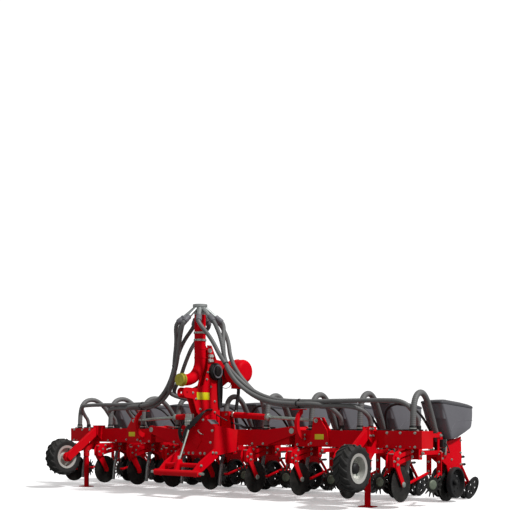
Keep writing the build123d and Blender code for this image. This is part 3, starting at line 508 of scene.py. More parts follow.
SILVER = surface("wheel_silver", (0.62, 0.62, 0.58), (0.54, 0.54, 0.50), (0.58, 0.58, 0.56), metallic=0.35,
                 wear=0.3, patch_scale=5, grain_scale=400, grain_depth=0.05, roughness=0.34, dust=0.05)
CHROMATE = surface("yellow_chromate", (0.50, 0.46, 0.04), (0.38, 0.33, 0.03), (0.6, 0.56, 0.2), metallic=0.4,
                   wear=0.4, patch_scale=22, grain_scale=300, grain_depth=0.1, roughness=0.36, dust=0.04)
YELLOW = surface("yellow_plate", (0.72, 0.66, 0.0), (0.66, 0.60, 0.0), (0.8, 0.76, 0.3),
                 wear=0.3, patch_scale=8, grain_scale=500, grain_depth=0.03, roughness=0.38, dust=0.03)
CABLE = surface("black_cable", (0.008, 0.008, 0.009), (0.015, 0.015, 0.016), (0.03, 0.03, 0.03),
                wear=0.2, patch_scale=10, grain_scale=600, grain_depth=0.1, roughness=0.5, dust=0.04)
HUB = surface("hub_cap", (0.17, 0.20, 0.145), (0.12, 0.145, 0.105), (0.30, 0.32, 0.27), metallic=0.3,
              wear=0.4, patch_scale=45, grain_scale=350, grain_depth=0.3, roughness=0.5, dust=0.05)
LID = surface("lid_moulding", (0.060, 0.060, 0.068), (0.050, 0.050, 0.057), (0.11, 0.11, 0.12),
              wear=0.5, patch_scale=3.0, grain_scale=900, grain_depth=0.22, roughness=0.42, dust=0.05)
SLOT_LOOK = {
    "red_paint": RED,
    "zinc_steel": ZINC,
    "dark_steel": STEEL,
    "hopper_plastic": HOPPER,
    "black_plastic": BLACK,
    "grey_hose": HOSE,
    "tyre_rubber": RUBBER,
    "wheel_silver": SILVER,
    "coupling_yellow": CHROMATE,
    "galvanised_pipe": GALVANISED,
}
for row in frame["record"]["subparts"]:
    node = frame["nodes"][row["node"]]
    node.data.materials.clear()
    node.data.materials.append(SLOT_LOOK[row["material_slot"]])
print("materials:", len(SLOT_LOOK))

# %% [markdown]
# ## Camera, floor and light
#
# The photographer stood level and low off the right-hand end, and the frame was shifted up. One
# high sun from the right and a white surround give the bright sides, the darker fronts and the pale
# shadow. Surround and floor look white but light the machine at less than half of that, because the
# undersides in such a picture stay dark.

# %% Stage


def lit_and_seen(tree, light, sight, end):
    """One shader for the light it gives and another for its look: a mix by the kind of ray."""
    ray = tree.nodes.new("ShaderNodeLightPath")
    mix = tree.nodes.new("ShaderNodeMixShader")
    tree.links.new(ray.outputs["Is Camera Ray"], mix.inputs["Fac"])
    tree.links.new(light.outputs[0], mix.inputs[1])
    tree.links.new(sight.outputs[0], mix.inputs[2])
    tree.links.new(mix.outputs["Shader"], tree.nodes[end].inputs["Surface"])


view = bpy.data.cameras.new("view")
view.lens = 63.8
view.sensor_width = 36.0
view.shift_x = -0.0068
view.shift_y = 0.3217
camera = linked("view", view)
camera.location = (8.633, -9.773, 1.033)
camera.rotation_euler = (math.radians(90), 0, math.radians(40.11))
bpy.context.scene.camera = camera

FLOOR_REACH = 60.0
floor_mesh = bpy.data.meshes.new("floor")
floor_corners = [(-1, -1, 0), (1, -1, 0), (1, 1, 0), (-1, 1, 0)]
floor_mesh.from_pydata((np.array(floor_corners) * FLOOR_REACH).tolist(), [], [(0, 1, 2, 3)])
floor = linked("floor", floor_mesh)
PALE = surface("pale_floor", (0.90, 0.90, 0.90), (0.89, 0.89, 0.89), (0.89, 0.89, 0.89), specular=0.05,
               wear=0.0, patch_scale=0.6, grain_scale=40, grain_depth=0.01, roughness=0.8, dust=0.0)
paper = PALE.node_tree
bright = paper.nodes["Principled BSDF"]
bright.inputs["Emission Color"].default_value = (1.0, 1.0, 1.0, 1)
bright.inputs["Emission Strength"].default_value = 0.30
dull = paper.nodes.new("ShaderNodeBsdfDiffuse")
dull.inputs["Color"].default_value = (0.30, 0.30, 0.30, 1)
lit_and_seen(paper, dull, bright, "Material Output")
floor_mesh.materials.append(PALE)

sky = bpy.data.worlds.new("studio")
sky.use_nodes = True
sky_tree = sky.node_tree
glow = sky_tree.nodes["Background"]
glow.inputs["Color"].default_value = (1.0, 1.0, 1.0, 1)
glow.inputs["Strength"].default_value = 0.42
backdrop = sky_tree.nodes.new("ShaderNodeBackground")
backdrop.inputs["Color"].default_value = (1.0, 1.0, 1.0, 1)
backdrop.inputs["Strength"].default_value = 1.1
lit_and_seen(sky_tree, glow, backdrop, "World Output")
bpy.context.scene.world = sky
bpy.context.scene.view_settings.view_transform = "Standard"

SUN_FROM = (0.66, 0.05, 0.75)
sun_light = bpy.data.lights.new("sun", "SUN")
sun_light.energy = 3.0
sun_light.angle = math.radians(6)
sun = linked("sun", sun_light)
sun.rotation_euler = Vector(SUN_FROM).to_track_quat("Z", "Y").to_euler()
print("camera at", tuple(round(value, 2) for value in camera.location))

# %% [markdown]
# ## Air loops
#
# Each row has a corrugated hose that rises from the beam, arches over and drops to its meter. The
# ribs are real geometry, because the hose's edge shows them against the sky. A dark cuff and a zinc
# band hold the end at the beam.

# %% Air loops
BEAM_TOP = 910.0
LOOP = [
    (95, -376, BEAM_TOP),
    (95, -376, 1160),
    (90, -300, 1345),
    (66, -110, 1388),
    (38, 60, 1290),
    (18, 190, 1120),
    (5, 300, 950),
    (0, 352, 860),
    (0, 385, 780),
]
LOOP_R = 38.0
loop_hose = ribbed(LOOP, LOOP_R, 24.0, 3.0)
cuff = [
    (LOOP_R - 1, 0), (LOOP_R + 7, 0), (LOOP_R + 7, 8),
    (LOOP_R + 3.5, 11), (LOOP_R + 3.5, 58), (LOOP_R - 1, 64),
]
band = [(LOOP_R + 3, 26), (LOOP_R + 6.5, 26), (LOOP_R + 6.5, 40), (LOOP_R + 3, 40)]
loop_cuff = moved(lathe(cuff, 24), LOOP[0])
loop_band = join(moved(lathe(band, 24), LOOP[0]), slab(86, 104, -428, -418, BEAM_TOP + 25, BEAM_TOP + 41, 2))
for section, rows in SECTIONS.items():
    body = CARRIER[section]
    loops = piece(f"air_loops_{section}", handed(loop_hose, rows), HOSE, body, 70)
    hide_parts(f"hose_loops_{section}")
    piece(f"loop_cuffs_{section}", handed(loop_cuff, rows), BLACK, body)
    piece(f"loop_bands_{section}", handed(loop_band, rows), ZINC, body)

# %% [markdown]
# ## Main hoses
#
# Six hoses leave the distributor's connectors, come together at a tie, and run over the hose
# brackets to the wings. The ties sit on the tower.

# %% Main hoses
HOSE_R = 30.0
HOSE_Y = -462.0
HOSE_Z = 1278.0
FOOT_Y = -212.0
HOSES = [
    # outlet, step to the front, step down, end X
    (1, 0.0, 0.0, 3075.0),
    (2, 0.0, -60.0, 2400.0),
    (3, -60.0, -30.0, 1960.0),
]
PIPE_Y = -788.0
OUTLET_TURN = 40.0
OUTLET_ROOT = (62.0, 2580.0)
OUTLET_END = (270.0, 2400.0)
CONNECTOR_PAST = 44.0
outlet_run = np.subtract(OUTLET_END, OUTLET_ROOT) / np.linalg.norm(np.subtract(OUTLET_END, OUTLET_ROOT))


def outlet_point(index, distance):
    """A point on one outlet's line, this far past the end of its connector."""
    angle = math.radians(-90 + index * OUTLET_TURN)
    radius, z = np.array(OUTLET_END) + outlet_run * (CONNECTOR_PAST + distance)
    return np.array([radius * math.cos(angle), PIPE_Y + radius * math.sin(angle), z])


def main_hose(outlet, step_y, step_z, end_x):
    """One main hose's route from its connector to the beam's top near its row."""
    x, y, z = outlet_point(outlet, 0)
    return [
        (x, y, z),
        outlet_point(outlet, 45),
        (x * 0.75 + 185, y * 0.6 - 300 + step_y, 2130),
        (x * 0.3 + 385, y * 0.25 - 590 + step_y, 1865 + step_z),
        (575, -720 + step_y, 1640 + step_z),
        (795, -655 + step_y, 1440 + step_z),
        (1090, -570 + step_y, 1310 + step_z),
        (1500, HOSE_Y + step_y, HOSE_Z + step_z),
        (end_x - 280, HOSE_Y + step_y, HOSE_Z + step_z + 5),
        (end_x - 60, HOSE_Y + step_y * 0.5 + 40, HOSE_Z + step_z - 20),
        (end_x, -300, 1120),
        (end_x, FOOT_Y, BEAM_TOP + 120),
        (end_x, FOOT_Y, BEAM_TOP),
    ]


def hose(points):
    """A corrugated hose of the distributor along a route."""
    return ribbed(points, HOSE_R, 22.0, 2.6, 12)


def on_hoses(ring, axis, value):
    """A ring round each main hose, at its point whose coordinate on an axis is nearest to a value."""
    rings = []
    for row in HOSES:
        path = even_path(spline(main_hose(*row)), 10.0)
        spot = int(np.argmin(np.abs(path[:, axis] - value)))
        rings.append(aimed(ring, path[spot + 1] - path[spot - 1], path[spot]))
    return join(*rings)


hose_shape = join(*[hose(main_hose(*row)) for row in HOSES])
TIE_Z = 1800.0
TIE_OUT = HOSE_R + 2.5
tie = lathe([(HOSE_R - 1, -7), (TIE_OUT, -7), (TIE_OUT, 7), (HOSE_R - 1, 7)], 20)
STRAP_X = 1480.0
STRAP_OUT = HOSE_R + 3
strap = lathe([(HOSE_R - 1, -11), (STRAP_OUT, -11), (STRAP_OUT, 11), (HOSE_R - 1, 11)], 24)
foot = lathe([
    (HOSE_R - 1, 0), (HOSE_R + 8, 0), (HOSE_R + 8, 10),
    (HOSE_R + 4, 14), (HOSE_R + 4, 60), (HOSE_R - 1, 66),
], 24)
feet = join(*[moved(foot, (end_x, FOOT_Y, BEAM_TOP)) for *_, end_x in HOSES])
hose_parts = [hose_shape, on_hoses(tie, 2, TIE_Z), feet, on_hoses(strap, 0, STRAP_X)]
for side, sign in SIDES.items():
    shapes = [on_side(shape, sign) for shape in hose_parts]
    hoses = piece(f"supply_hoses_{side}", shapes[0], HOSE, None, 70)
    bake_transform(hoses)
    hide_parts(f"main_hoses_{side}")
    piece(f"hose_ties_{side}", shapes[1], BLACK, "centre")
    piece(f"hose_feet_{side}", shapes[2], BLACK, f"wing_{side}")
    piece(f"hose_straps_{side}", shapes[3], BLACK, f"wing_{side}")

# %% [markdown]
# ## Hoses to the centre rows
#
# Three more hoses leave the distributor's front and rear outlets and come down to the centre beam,
# one for each centre row. They never cross a fold, so they are plain ribbed sweeps on the centre
# body, with the same feet as the long ones. Each passes well above its fold cylinder, because the
# cylinder swings up when the wing folds.

# %% Centre hoses
SIDE_HOSE = [
    (330, -575, 2130), (425, -640, 1865), (560, -610, 1640), (720, -580, 1480), (770, -520, 1405),
    (720, -420, 1370), (680, -305, 1340), (665, -228, 1235), (665, FOOT_Y, 1090), (665, FOOT_Y, BEAM_TOP),
]
FRONT_HOSE = [
    (175, -1010, 2130), (320, -905, 1865), (500, -810, 1640), (680, -730, 1480), (715, -640, 1405),
    (600, -510, 1350), (450, -400, 1325), (360, -300, 1300), (325, -225, 1190), (325, FOOT_Y, 1080),
    (325, FOOT_Y, BEAM_TOP),
]
CENTRE_HOSES = {
    # outlet, route, mirrored
    "right": (4, SIDE_HOSE, False),
    "left": (4, SIDE_HOSE, True),
    "middle": (0, FRONT_HOSE, True),
}
for name, (outlet, route, mirrored) in CENTRE_HOSES.items():
    way = [outlet_point(outlet, 0), outlet_point(outlet, 45), *route]
    shape = join(hose(way), moved(foot, route[-1]))
    piece(f"centre_hose_{name}", flipped(shape) if mirrored else shape, HOSE, "centre")
    run = even_path(spline(way), 10.0)
    metres = np.linalg.norm(np.diff(run, axis=0), axis=1).sum() * MM
    print("centre hose", name, "about", round(metres, 2), "m")

# %% [markdown]
# ## Support tyres
#
# A support tyre has two rows of lugs that lean into a chevron. The carcass is a turned profile with
# round shoulders. A lug is a grid too: one way runs from the tread's middle out over the shoulder,
# the other goes round the lug's own section.

# %% Lugged tyres
WHEEL = (2677.0, -1036.0, 480.0)
TYRE_HALF = 103.0
TREAD_R = 263.5
LUGS = 17
CARCASS = [
    (152.5, -81), (182, -90), (221, -102.5), (244, -101), (257, -90), (263, -66), (265, -30), (265.5, 0),
    (265, 30), (263, 66), (257, 90), (244, 101), (221, 102.5), (182, 90), (152.5, 81),
]
LUG_SECTION = np.array([
    # height over the tread, edge, width
    (-14.0, -1, 1.35), (15.0, -1, 1.0), (16.6, -1, 0.72), (16.6, 1, 0.72), (15.0, 1, 1.0), (-14.0, 1, 1.35),
])


def lug(side):
    """A lug's rings: the angle grows with the way out, and the height falls over the shoulder."""
    share = np.linspace(0, 1, 9)[:, None]
    height, edge, width = LUG_SECTION.T[:, None, :]
    drop = np.clip(share - 0.78, 0, None) * 95
    radius = TREAD_R + height - np.where(height > 0, drop, 0) - share ** 2 * 1.9
    angle = 0.34 * share ** 0.85 + edge * (0.045 + 0.010 * share) * width
    z = side * (4 + share * (TYRE_HALF - 5)) + 0 * angle
    return stack(list(np.stack([radius * np.cos(angle), radius * np.sin(angle), z], -1)))


tyre_shape = join(lathe(CARCASS, 88), spun(lug(1), LUGS), spun(lug(-1), LUGS, math.pi / LUGS))
for side, sign in SIDES.items():
    shape = on_side(aimed(tyre_shape, (1, 0, 0), WHEEL), sign)
    tyre = piece(f"lugged_tyre_{side}", shape, RUBBER, f"wheel_{side}")
    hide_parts(f"tyre_{side}")

# %% [markdown]
# ## Hoppers and lids
#
# A seed hopper is rotation-moulded: every corner is round, the walls lean out, and a raised line
# stiffens each side. It is a stack of rounded rectangles whose size and tilt change from the foot to
# the rim. The lid is a crowned cap made the same way, with a lip, two hinges in front and two latches
# at the rear.

# %% Hoppers


def rounded_ring(y0, y1, half, radius, z0, z1, steps=7):
    """A rounded rectangle: four corner arcs, with a height that runs from front to rear."""
    turn = np.radians(np.linspace(0, 90, steps))[None, :] + np.radians([[0], [90], [180], [270]])
    middle_x = np.array([[half - radius], [radius - half], [radius - half], [half - radius]])
    middle_y = np.array([[y1 - radius], [y1 - radius], [y0 + radius], [y0 + radius]])
    x = (middle_x + radius * np.cos(turn)).ravel()
    y = (middle_y + radius * np.sin(turn)).ravel()
    return np.column_stack([x, y, z0 + (z1 - z0) * (y - y0) / (y1 - y0)])


HOPPER_LEVELS = [
    # front y, rear y, half width, corner radius, front z, rear z
    (486, 662, 132, 26, 802, 816),
    (478, 690, 138, 32, 812, 828),
    (450, 810, 146, 40, 850, 868),
    (425, 890, 150, 44, 886, 896),
    (394, 1000, 153, 46, 942, 936),
    (372, 1026, 154, 46, 980, 962),
    (350, 1037, 155, 46, 1020, 1008),
    (304, 1049, 155, 44, 1100, 1080),
    (262, 1050, 155, 42, 1176, 1135),
    (228, 1046, 155, 40, 1236, 1180),
    (222, 1045, 155, 40, 1247, 1187),
    (232, 1036, 147, 34, 1247, 1187),
    (300, 1000, 140, 34, 1060, 1030),
]
SIDE_LINE = [(452, 905), (500, 965), (560, 1008), (640, 1030), (760, 1038), (900, 1038), (1020, 1038)]
hopper_shape = stack([rounded_ring(*level) for level in HOPPER_LEVELS])
ridges = [line([(sign * 153.5, y, z) for y, z in SIDE_LINE], 4.0, 6, 20) for sign in (-1, 1)]
hopper_shape = join(hopper_shape, *ridges)
for section, rows in SECTIONS.items():
    body = CARRIER[section]
    bins = piece(f"seed_bins_{section}", in_rows(hopper_shape, rows), HOPPER, body)
    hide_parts(f"hoppers_{section}")

# %% Lids
LID_LEVELS = [
    # front y, rear y, half width, corner radius, front z, rear z
    (220, 1048, 150, 38, 1252, 1191),
    (213, 1055, 157.5, 42, 1252, 1191),
    (212, 1056, 158, 42, 1262, 1202),
    (214, 1054, 157, 42, 1272, 1212),
    (224, 1046, 150, 38, 1280, 1220),
    (290, 985, 118, 38, 1291, 1243),
    (420, 860, 70, 30, 1300, 1268),
]
MIDDLE_LID = 5
lid_shape = stack([rounded_ring(*level) for level in LID_LEVELS])
latch_parts = [slab(x - 24, x + 24, 1053, 1061, 1190, 1220, 3) for x in (-75, 75)]
hinge_parts = [rod((x - 26, 207, 1254), (x + 26, 207, 1254), 7) for x in (-80, 80)]
lid_trim = join(*latch_parts, *hinge_parts)
for section, rows in SECTIONS.items():
    for row in rows:
        place = (row * PITCH, 0, 0)
        number = row + MIDDLE_LID
        body = f"hopper_lid_{number}"
        lid = piece(f"bin_lid_{number}", moved(lid_shape, place), LID, body)
        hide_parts(f"lid_{number}")
        piece(f"lid_latches_{number}", moved(lid_trim, place), BLACK, body)

# %% [markdown]
# ## Ground tools
#
# Each row has a double-disc opener, two toothed row cleaners with round hub caps, and two tilted
# closing wheels. Discs are turned profiles with a thin ground edge. A row cleaner is an outline with
# hooked teeth, cut from plate. All stand where the CAD tools stand.

# %% Ground tools
OPENER = (16.0, 600.0, 198.0)
OPENER_TOE = math.radians(3.0)
STAR = (200.0, -100.0, 262.0)
STAR_TOE = math.radians(18.0)
TINES = 13
TOOTH = np.array([
    # radius, angle
    (96, -0.14), (126, -0.075), (150, -0.035), (150, 0.055), (124, 0.085), (96, 0.14),
])
TILT = math.radians(18.0)
CLOSING = (78.0, 1162.0, 155.0 * math.cos(TILT) + 14.0 * math.sin(TILT))


def ring_disc(inner, outer, count, hole, at, low, high, arc=8):
    """A disc with a ring of round holes: each wedge runs from its border to the hole inside it."""
    step = 2 * np.pi / count
    turn = np.linspace(-step / 2, step / 2, arc + 1)
    radius = np.repeat([outer, inner], arc + 1)
    angle = np.concatenate([turn, turn[::-1]])
    border = np.column_stack([radius * np.cos(angle), radius * np.sin(angle)])
    reach = border - (at, 0)
    rim = (at, 0) + hole * reach / np.linalg.norm(reach, axis=1, keepdims=True)
    layers = [(border, high), (rim, high), (rim, low), (border, low)]
    points = np.concatenate([np.column_stack([loop, np.full(len(loop), z)]) for loop, z in layers])
    wedge = (points, [grid(4, len(border))])
    outer_wall = lathe([(outer, low), (outer, high)], count * arc)
    inner_wall = lathe([(inner, high), (inner, low)], count * arc)
    return join(spun(wedge, count), outer_wall, inner_wall)


turn = 2 * np.pi * np.arange(TINES)[:, None] / TINES + TOOTH[:, 1]
star_outline = np.stack([TOOTH[:, 0] * np.cos(turn), TOOTH[:, 0] * np.sin(turn)], -1).reshape(-1, 2)
star_disc = join(
    rounded(prism(star_outline, -4, 4), 1.0, 1),
    lathe([(0, -20), (26, -20), (26, -4), (0, -4)], 20),
)
star_cap = lathe([(0, 20), (44, 19), (56, 15), (60, 9), (60, 3), (0, 3)], 32)
opener_disc = join(
    lathe([(0, 0), (36, 0), (38, 1.5), (174, 1.5), (190, 3.6), (190, 4.2), (172, 5), (0, 5)], 48),
    lathe([(0, 5), (34, 5), (34, 9), (24, 12), (0, 12)], 20),
)
CLOSING_RIM = [
    # radius, distance from the wheel's middle
    (118, -9), (122, -14), (146, -14), (155, -7), (155, 7), (146, 14), (122, 14), (118, 9), (118, -9),
]
closing_wheel = join(
    ring_disc(34, 122, 5, 21, 80, -6, 6),
    lathe(CLOSING_RIM, 48),
    lathe([(0, 14), (28, 14), (36, 8), (36, -13), (0, -13)], 24),
)
shank = rounded(side_prism([(590, 480), (690, 480), (660, 190), (590, 190)], -7, 7), 2.0)


def toed(shape, sign, place, toe):
    """A disc made along Z on one side of the row, facing out and turned a little to the front."""
    return aimed(shape, (sign * math.cos(toe), -math.sin(toe), 0), (sign * place[0], *place[1:]))


def tilted(shape, sign):
    """A closing wheel on one side of the row, facing out and down."""
    return aimed(shape, (sign * math.cos(TILT), 0, -math.sin(TILT)), (sign * CLOSING[0], *CLOSING[1:]))


BOTH = (-1, 1)
openers = join(shank, *[toed(opener_disc, s, OPENER, OPENER_TOE) for s in BOTH])
TOOLS = {
    "opener_discs": (openers, STEEL, "dark_steel"),
    "row_cleaners": (join(*[toed(star_disc, s, STAR, STAR_TOE) for s in BOTH]), STEEL, "dark_steel"),
    "cleaner_caps": (join(*[toed(star_cap, s, STAR, STAR_TOE) for s in BOTH]), HUB, "zinc_steel"),
    "closing_wheels": (join(*[tilted(closing_wheel, s) for s in BOTH]), BLACK, "dark_steel"),
}
for section, rows in SECTIONS.items():
    for name, (shape, look, slot) in TOOLS.items():
        made = piece(f"{name}_{section}", in_rows(shape, rows), look, CARRIER[section])
        if name == "opener_discs":
            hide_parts(f"ground_tools_{section}")

# %% [markdown]
# ## Fasteners
#
# Bolts are what makes a bolted frame believable, and their zinc stands out from the red. One bolt is
# a washer, a hexagon head and the end of its shank, a few dozen faces. Short tables say where the
# bolts of a row, of a coulter and of the beams are.

# %% Row units' bolts


def bolt(size):
    """A bolt whose head points along Z, with its washer at zero."""
    washer = lathe([(0, 0), (0.66 * size, 0), (0.66 * size, 0.12 * size), (0, 0.12 * size)], 14)
    turn = np.radians(np.arange(0, 360, 60))
    head = prism(np.column_stack([np.cos(turn), np.sin(turn)]) * 0.56 * size, 0.12 * size, 0.5 * size)
    shank = lathe([(0.28 * size, 0.5 * size), (0.26 * size, 0.8 * size), (0, 0.8 * size)], 10)
    return join(washer, head, shank)


def bolts(size, axis, places):
    """Bolts of one size and direction at several places."""
    return join(*[aimed(bolt(size), axis, place) for place in places])


LINK_BOLTS = [(-115, 850), (-115, 640), (330, 850), (330, 640)]
PLATE_BOLTS = [(350, 700), (400, 560), (640, 540), (610, 420), (700, 420), (880, 470), (880, 780), (880, 620)]
CARRIER_BOLTS = [(72, 620), (72, 520), (72, 400)]
HEAD_BOLTS = [(-140, 600), (-140, 880)]
row_parts = []
for sign in BOTH:
    row_parts.append(bolts(34, (sign, 0, 0), [(sign * 71, y, z) for y, z in LINK_BOLTS]))
    row_parts.append(bolts(24, (sign, 0, 0), [(sign * 57, y, z) for y, z in PLATE_BOLTS + HEAD_BOLTS]))
    row_parts.append(bolts(24, (0, -1, 0), [(sign * x, 290, z) for x, z in CARRIER_BOLTS]))
row_bolts = join(*row_parts)
print("bolts of a row:", len(row_bolts[0]), "points")

# %% [markdown]
# ## Row fittings and gauge wheels
#
# A row unit carries a pressure spring between its links, depth handles with black grips, a small
# drive with its cable, and a damper. Its two gauge wheels have a round tyre on a dished web with
# eight holes. Grips and wheels could be boxes and discs, but turned profiles give them the moulded
# edges that show beside the ground tools.

# %% Row fittings
row_spring = join(
    coil((0, 20, 820), (0, 250, 668), 30, 5.5, 9),
    rod((0, -90, 892), (0, 40, 807), 13),
    rod((0, 230, 681), (0, 292, 640), 13),
)
GRIPS = [
    # Z, end of the bare handle
    (560.0, 1010.0),
    (460.0, 1040.0),
]
grip = [(0, -30), (13, -30), (17, -24), (15, 0), (18, 22), (15, 44), (18, 64), (14, 78), (0, 80)]
handle_grips = join(*[aimed(lathe(grip, 16), (0, 1, 0), (0, reach, z)) for z, reach in GRIPS])
row_drive = join(
    slab(57, 104, 335, 428, 700, 800, 8),
    rod((80, 380, 690), (80, 380, 640), 30),
    line([(104, 380, 760), (135, 380, 740), (140, 420, 660), (110, 500, 620), (57, 540, 640)], 7, 8),
)
row_damper = join(rod((78, 438, 600), (78, 452, 720), 17), rod((78, 452, 720), (78, 462, 800), 9))
print("drive:", len(row_drive[0]), "points, grips:", len(handle_grips[0]), "points")

# %% Gauge wheels
GAUGE = (75.0, 652.0, 248.0)
GAUGE_CAP_X = 126.0
GAUGE_TYRE = [
    # radius, distance from the inner face
    (152, 4), (172, 0), (190, 4), (198, 14), (198, 56), (192, 66), (180, 70), (170, 66), (164, 40), (152, 4),
]
gauge_wheel = join(
    lathe(GAUGE_TYRE, 56),
    ring_disc(34, 158, 8, 15, 112, 6, 16),
    lathe([(15.5, 0), (36, 0), (38, 4), (38, 44), (34, 50), (15.5, 50), (15.5, 0)], 28),
)
gauge_cap = lathe([(0, 14), (20, 13), (30, 6), (31, 0), (0, 0)], 24)
gauge_pair = join(*[aimed(gauge_wheel, (sign, 0, 0), (sign * GAUGE[0], *GAUGE[1:])) for sign in BOTH])
gauge_caps = join(*[aimed(gauge_cap, (sign, 0, 0), (sign * GAUGE_CAP_X, *GAUGE[1:])) for sign in BOTH])
print("gauge wheel:", len(gauge_wheel[0]), "points")

# %% Row units' pieces
ROW_PIECES = {
    "row_bolts": (row_bolts, ZINC, "zinc_steel"),
    "row_springs": (row_spring, ZINC, "zinc_steel"),
    "row_drives": (row_drive, BLACK, "black_plastic"),
    "row_dampers": (row_damper, ZINC, "zinc_steel"),
    "handle_grips": (handle_grips, BLACK, "black_plastic"),
}
for section, rows in SECTIONS.items():
    for name, (shape, look, slot) in ROW_PIECES.items():
        piece(f"{name}_{section}", in_rows(shape, rows), look, CARRIER[section])
    body = f"gauge_set_{section}"
    wheels = piece(f"depth_wheels_{section}", in_rows(gauge_pair, rows), BLACK, body)
    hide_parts(f"gauge_wheels_{section}")
    piece(f"gauge_caps_{section}", in_rows(gauge_caps, rows), BLACK, body)

# %% [markdown]
# ## Coulters
#
# A fertiliser coulter hangs below the beam on two arms. Cheek plates clamp its head, a leg reaches
# down to the disc's hub, and a tube drops the grain behind the disc. The plates are outlines with a
# small bevel, as laser-cut plate has, and the tube is a sweep with a bright sleeve at its foot.

# %% Coulters' bolts and tubes
ARM_BOLTS = [(-650, 600), (-650, 527), (-310, 668), (-310, 601)]
LEG_FACE = 67.0
COULTER_HUB = (-538.0, 282.0)
hub_cap = lathe([(0, 16), (18, 16), (30, 10), (34, 0), (0, 0)], 24)
coulter_parts = [bolts(30, (sign, 0, 0), [(sign * 40, y, z) for y, z in ARM_BOLTS]) for sign in BOTH]
coulter_parts.append(bolts(26, (1, 0, 0), [(LEG_FACE, -672, 590), (LEG_FACE, -672, 520)]))
for sign in BOTH:
    coulter_parts.append(bolts(24, (sign, 0, 0), [(sign * 48, -720, 560), (sign * 48, -600, 655)]))
coulter_parts.append(aimed(hub_cap, (1, 0, 0), (LEG_FACE, *COULTER_HUB)))
coulter_parts.append(slab(-36, 36, -706, -636, 640, 650))
coulter_bolts = join(*coulter_parts)
CHEEK_OUTLINE = [
    (-742, 500), (-748, 600), (-705, 662), (-610, 690), (-560, 650), (-575, 590), (-640, 520), (-690, 480),
]
LEG_OUTLINE = [
    (-705, 600), (-625, 600), (-585, 460), (-495, 295), (-505, 248), (-560, 246), (-585, 300), (-712, 480),
]
cheek = rounded(side_prism(CHEEK_OUTLINE, 40, 48), 2.0)
cheeks = join(cheek, flipped(cheek))
near_leg = rounded(side_prism(LEG_OUTLINE, -4, 11), 2.5)
near_hub = rod((11, *COULTER_HUB), (27, *COULTER_HUB), 27)
DROP_TUBE = [(0, -310, 610), (0, -330, 520), (0, -370, 380), (0, -400, 120)]
drop_tube = line(DROP_TUBE, 24.0, 16)
SLEEVE = [(0, -352, 430), (0, -370, 370), (0, -388, 250), (0, -400, 120)]
tube_sleeve = line(SLEEVE, 26.5, 16)
COULTER_PIECES = {
    "coulter_bolts": (coulter_bolts, ZINC, "zinc_steel"),
    "drop_tubes": (drop_tube, HOSE, "grey_hose"),
    "tube_sleeves": (tube_sleeve, GALVANISED, "galvanised_pipe"),
    "coulter_cheeks": (cheeks, RED, "red_paint"),
}
# the leg before the disc, as seen from the hitch
legs = flipped(join(near_leg, near_hub))
FIRST_RIGHT = 1
for section, rows in SECTIONS.items():
    body = CARRIER[section]
    for name, (shape, look, slot) in COULTER_PIECES.items():
        piece(f"{name}_{section}", handed(shape, rows, FIRST_RIGHT), look, body)
    inner_rows = [row for row in rows if row < FIRST_RIGHT]
    if inner_rows:
        piece(f"coulter_legs_{section}", in_rows(legs, inner_rows), RED, body)

# %% Beams' bolts
BEAM_FRONT = -423.0
CENTRE_FRONT = -452.0
END_FACE = BEAM_FRONT - 15
EAR_FACE = -443.0
clamp_bolts = {section: [] for section in SECTIONS}
for section, rows in SECTIONS.items():
    front = CENTRE_FRONT if section == "centre" else BEAM_FRONT
    for x in [row * PITCH for row in rows]:
        top = [(x + step, y, BEAM_TOP) for step in (-170, 170) for y in (-395, -195)]
        clamp_bolts[section].append(bolts(28, (0, 0, 1), top))
        if x != 0:
            clamp_bolts[section].append(bolts(26, (0, -1, 0), [(x - 95, front, 725), (x + 95, front, 725)]))
END_BOLTS = [(2775, 722), (2960, 722), (3160, 722), (2775, 888), (2960, 888), (3160, 888)]
for side, sign in SIDES.items():
    parts = clamp_bolts[side]
    parts.append(bolts(26, (0, -1, 0), [(sign * x, END_FACE, z) for x, z in END_BOLTS]))
    parts.append(bolts(28, (sign, 0, 0), [(sign * 2576, y, z) for y in (-500, -440) for z in (935, 850)]))
    parts.append(bolts(26, (0, -1, 0), [(sign * x, EAR_FACE, 745) for x in (1640, 1890)]))
    parts.append(bolts(44, (0, -1, 0), [(sign * 1720, EAR_FACE, 1035)]))
    parts.append(bolts(26, (sign, 0, 0), [(sign * 1540, -450, z) for z in (800, 850)]))
    parts.append(rod((sign * 2556, -627, 560), (sign * 2690, -627, 560), 8))
    piece(f"beam_bolts_{side}", join(*parts), ZINC, f"wing_{side}")

# %% Headstock's and mast's bolts
HEAD_FACE = -850.0
HEAD_XZ = [(250, 590), (150, 590), (290, 900), (120, 1045), (255, 740), (70, 590)]
ARM_YZ = [(-1130, 440), (-900, 605), (-840, 600)]
MAST_YZ = [
    (-990, 1412), (-930, 1330), (-850, 1190), (-720, 1600),
    (-700, 1700), (-640, 1500), (-560, 1150), (-560, 1300),
]
parts = clamp_bolts["centre"]
for sign in BOTH:
    parts.append(bolts(28, (0, -1, 0), [(sign * x, HEAD_FACE, z) for x, z in HEAD_XZ]))
    parts.append(bolts(30, (sign, 0, 0), [(sign * 345, y, z) for y, z in ARM_YZ]))
    parts.append(bolts(26, (sign, 0, 0), [(sign * 60, y, z) for y, z in MAST_YZ]))
piece("centre_bolts", join(*parts), ZINC, "centre")

# %% [markdown]
# ## Tower
#
# Dark cuffs join the distributor's bright pipes to the hoses, bands and saddles hold the air pipe,
# dials and a round drive sit on the mast, and a hose drops from the fan. Nearly all of it is round,
# so turned profiles make it. The signs of such a tower are blank yellow plates here.

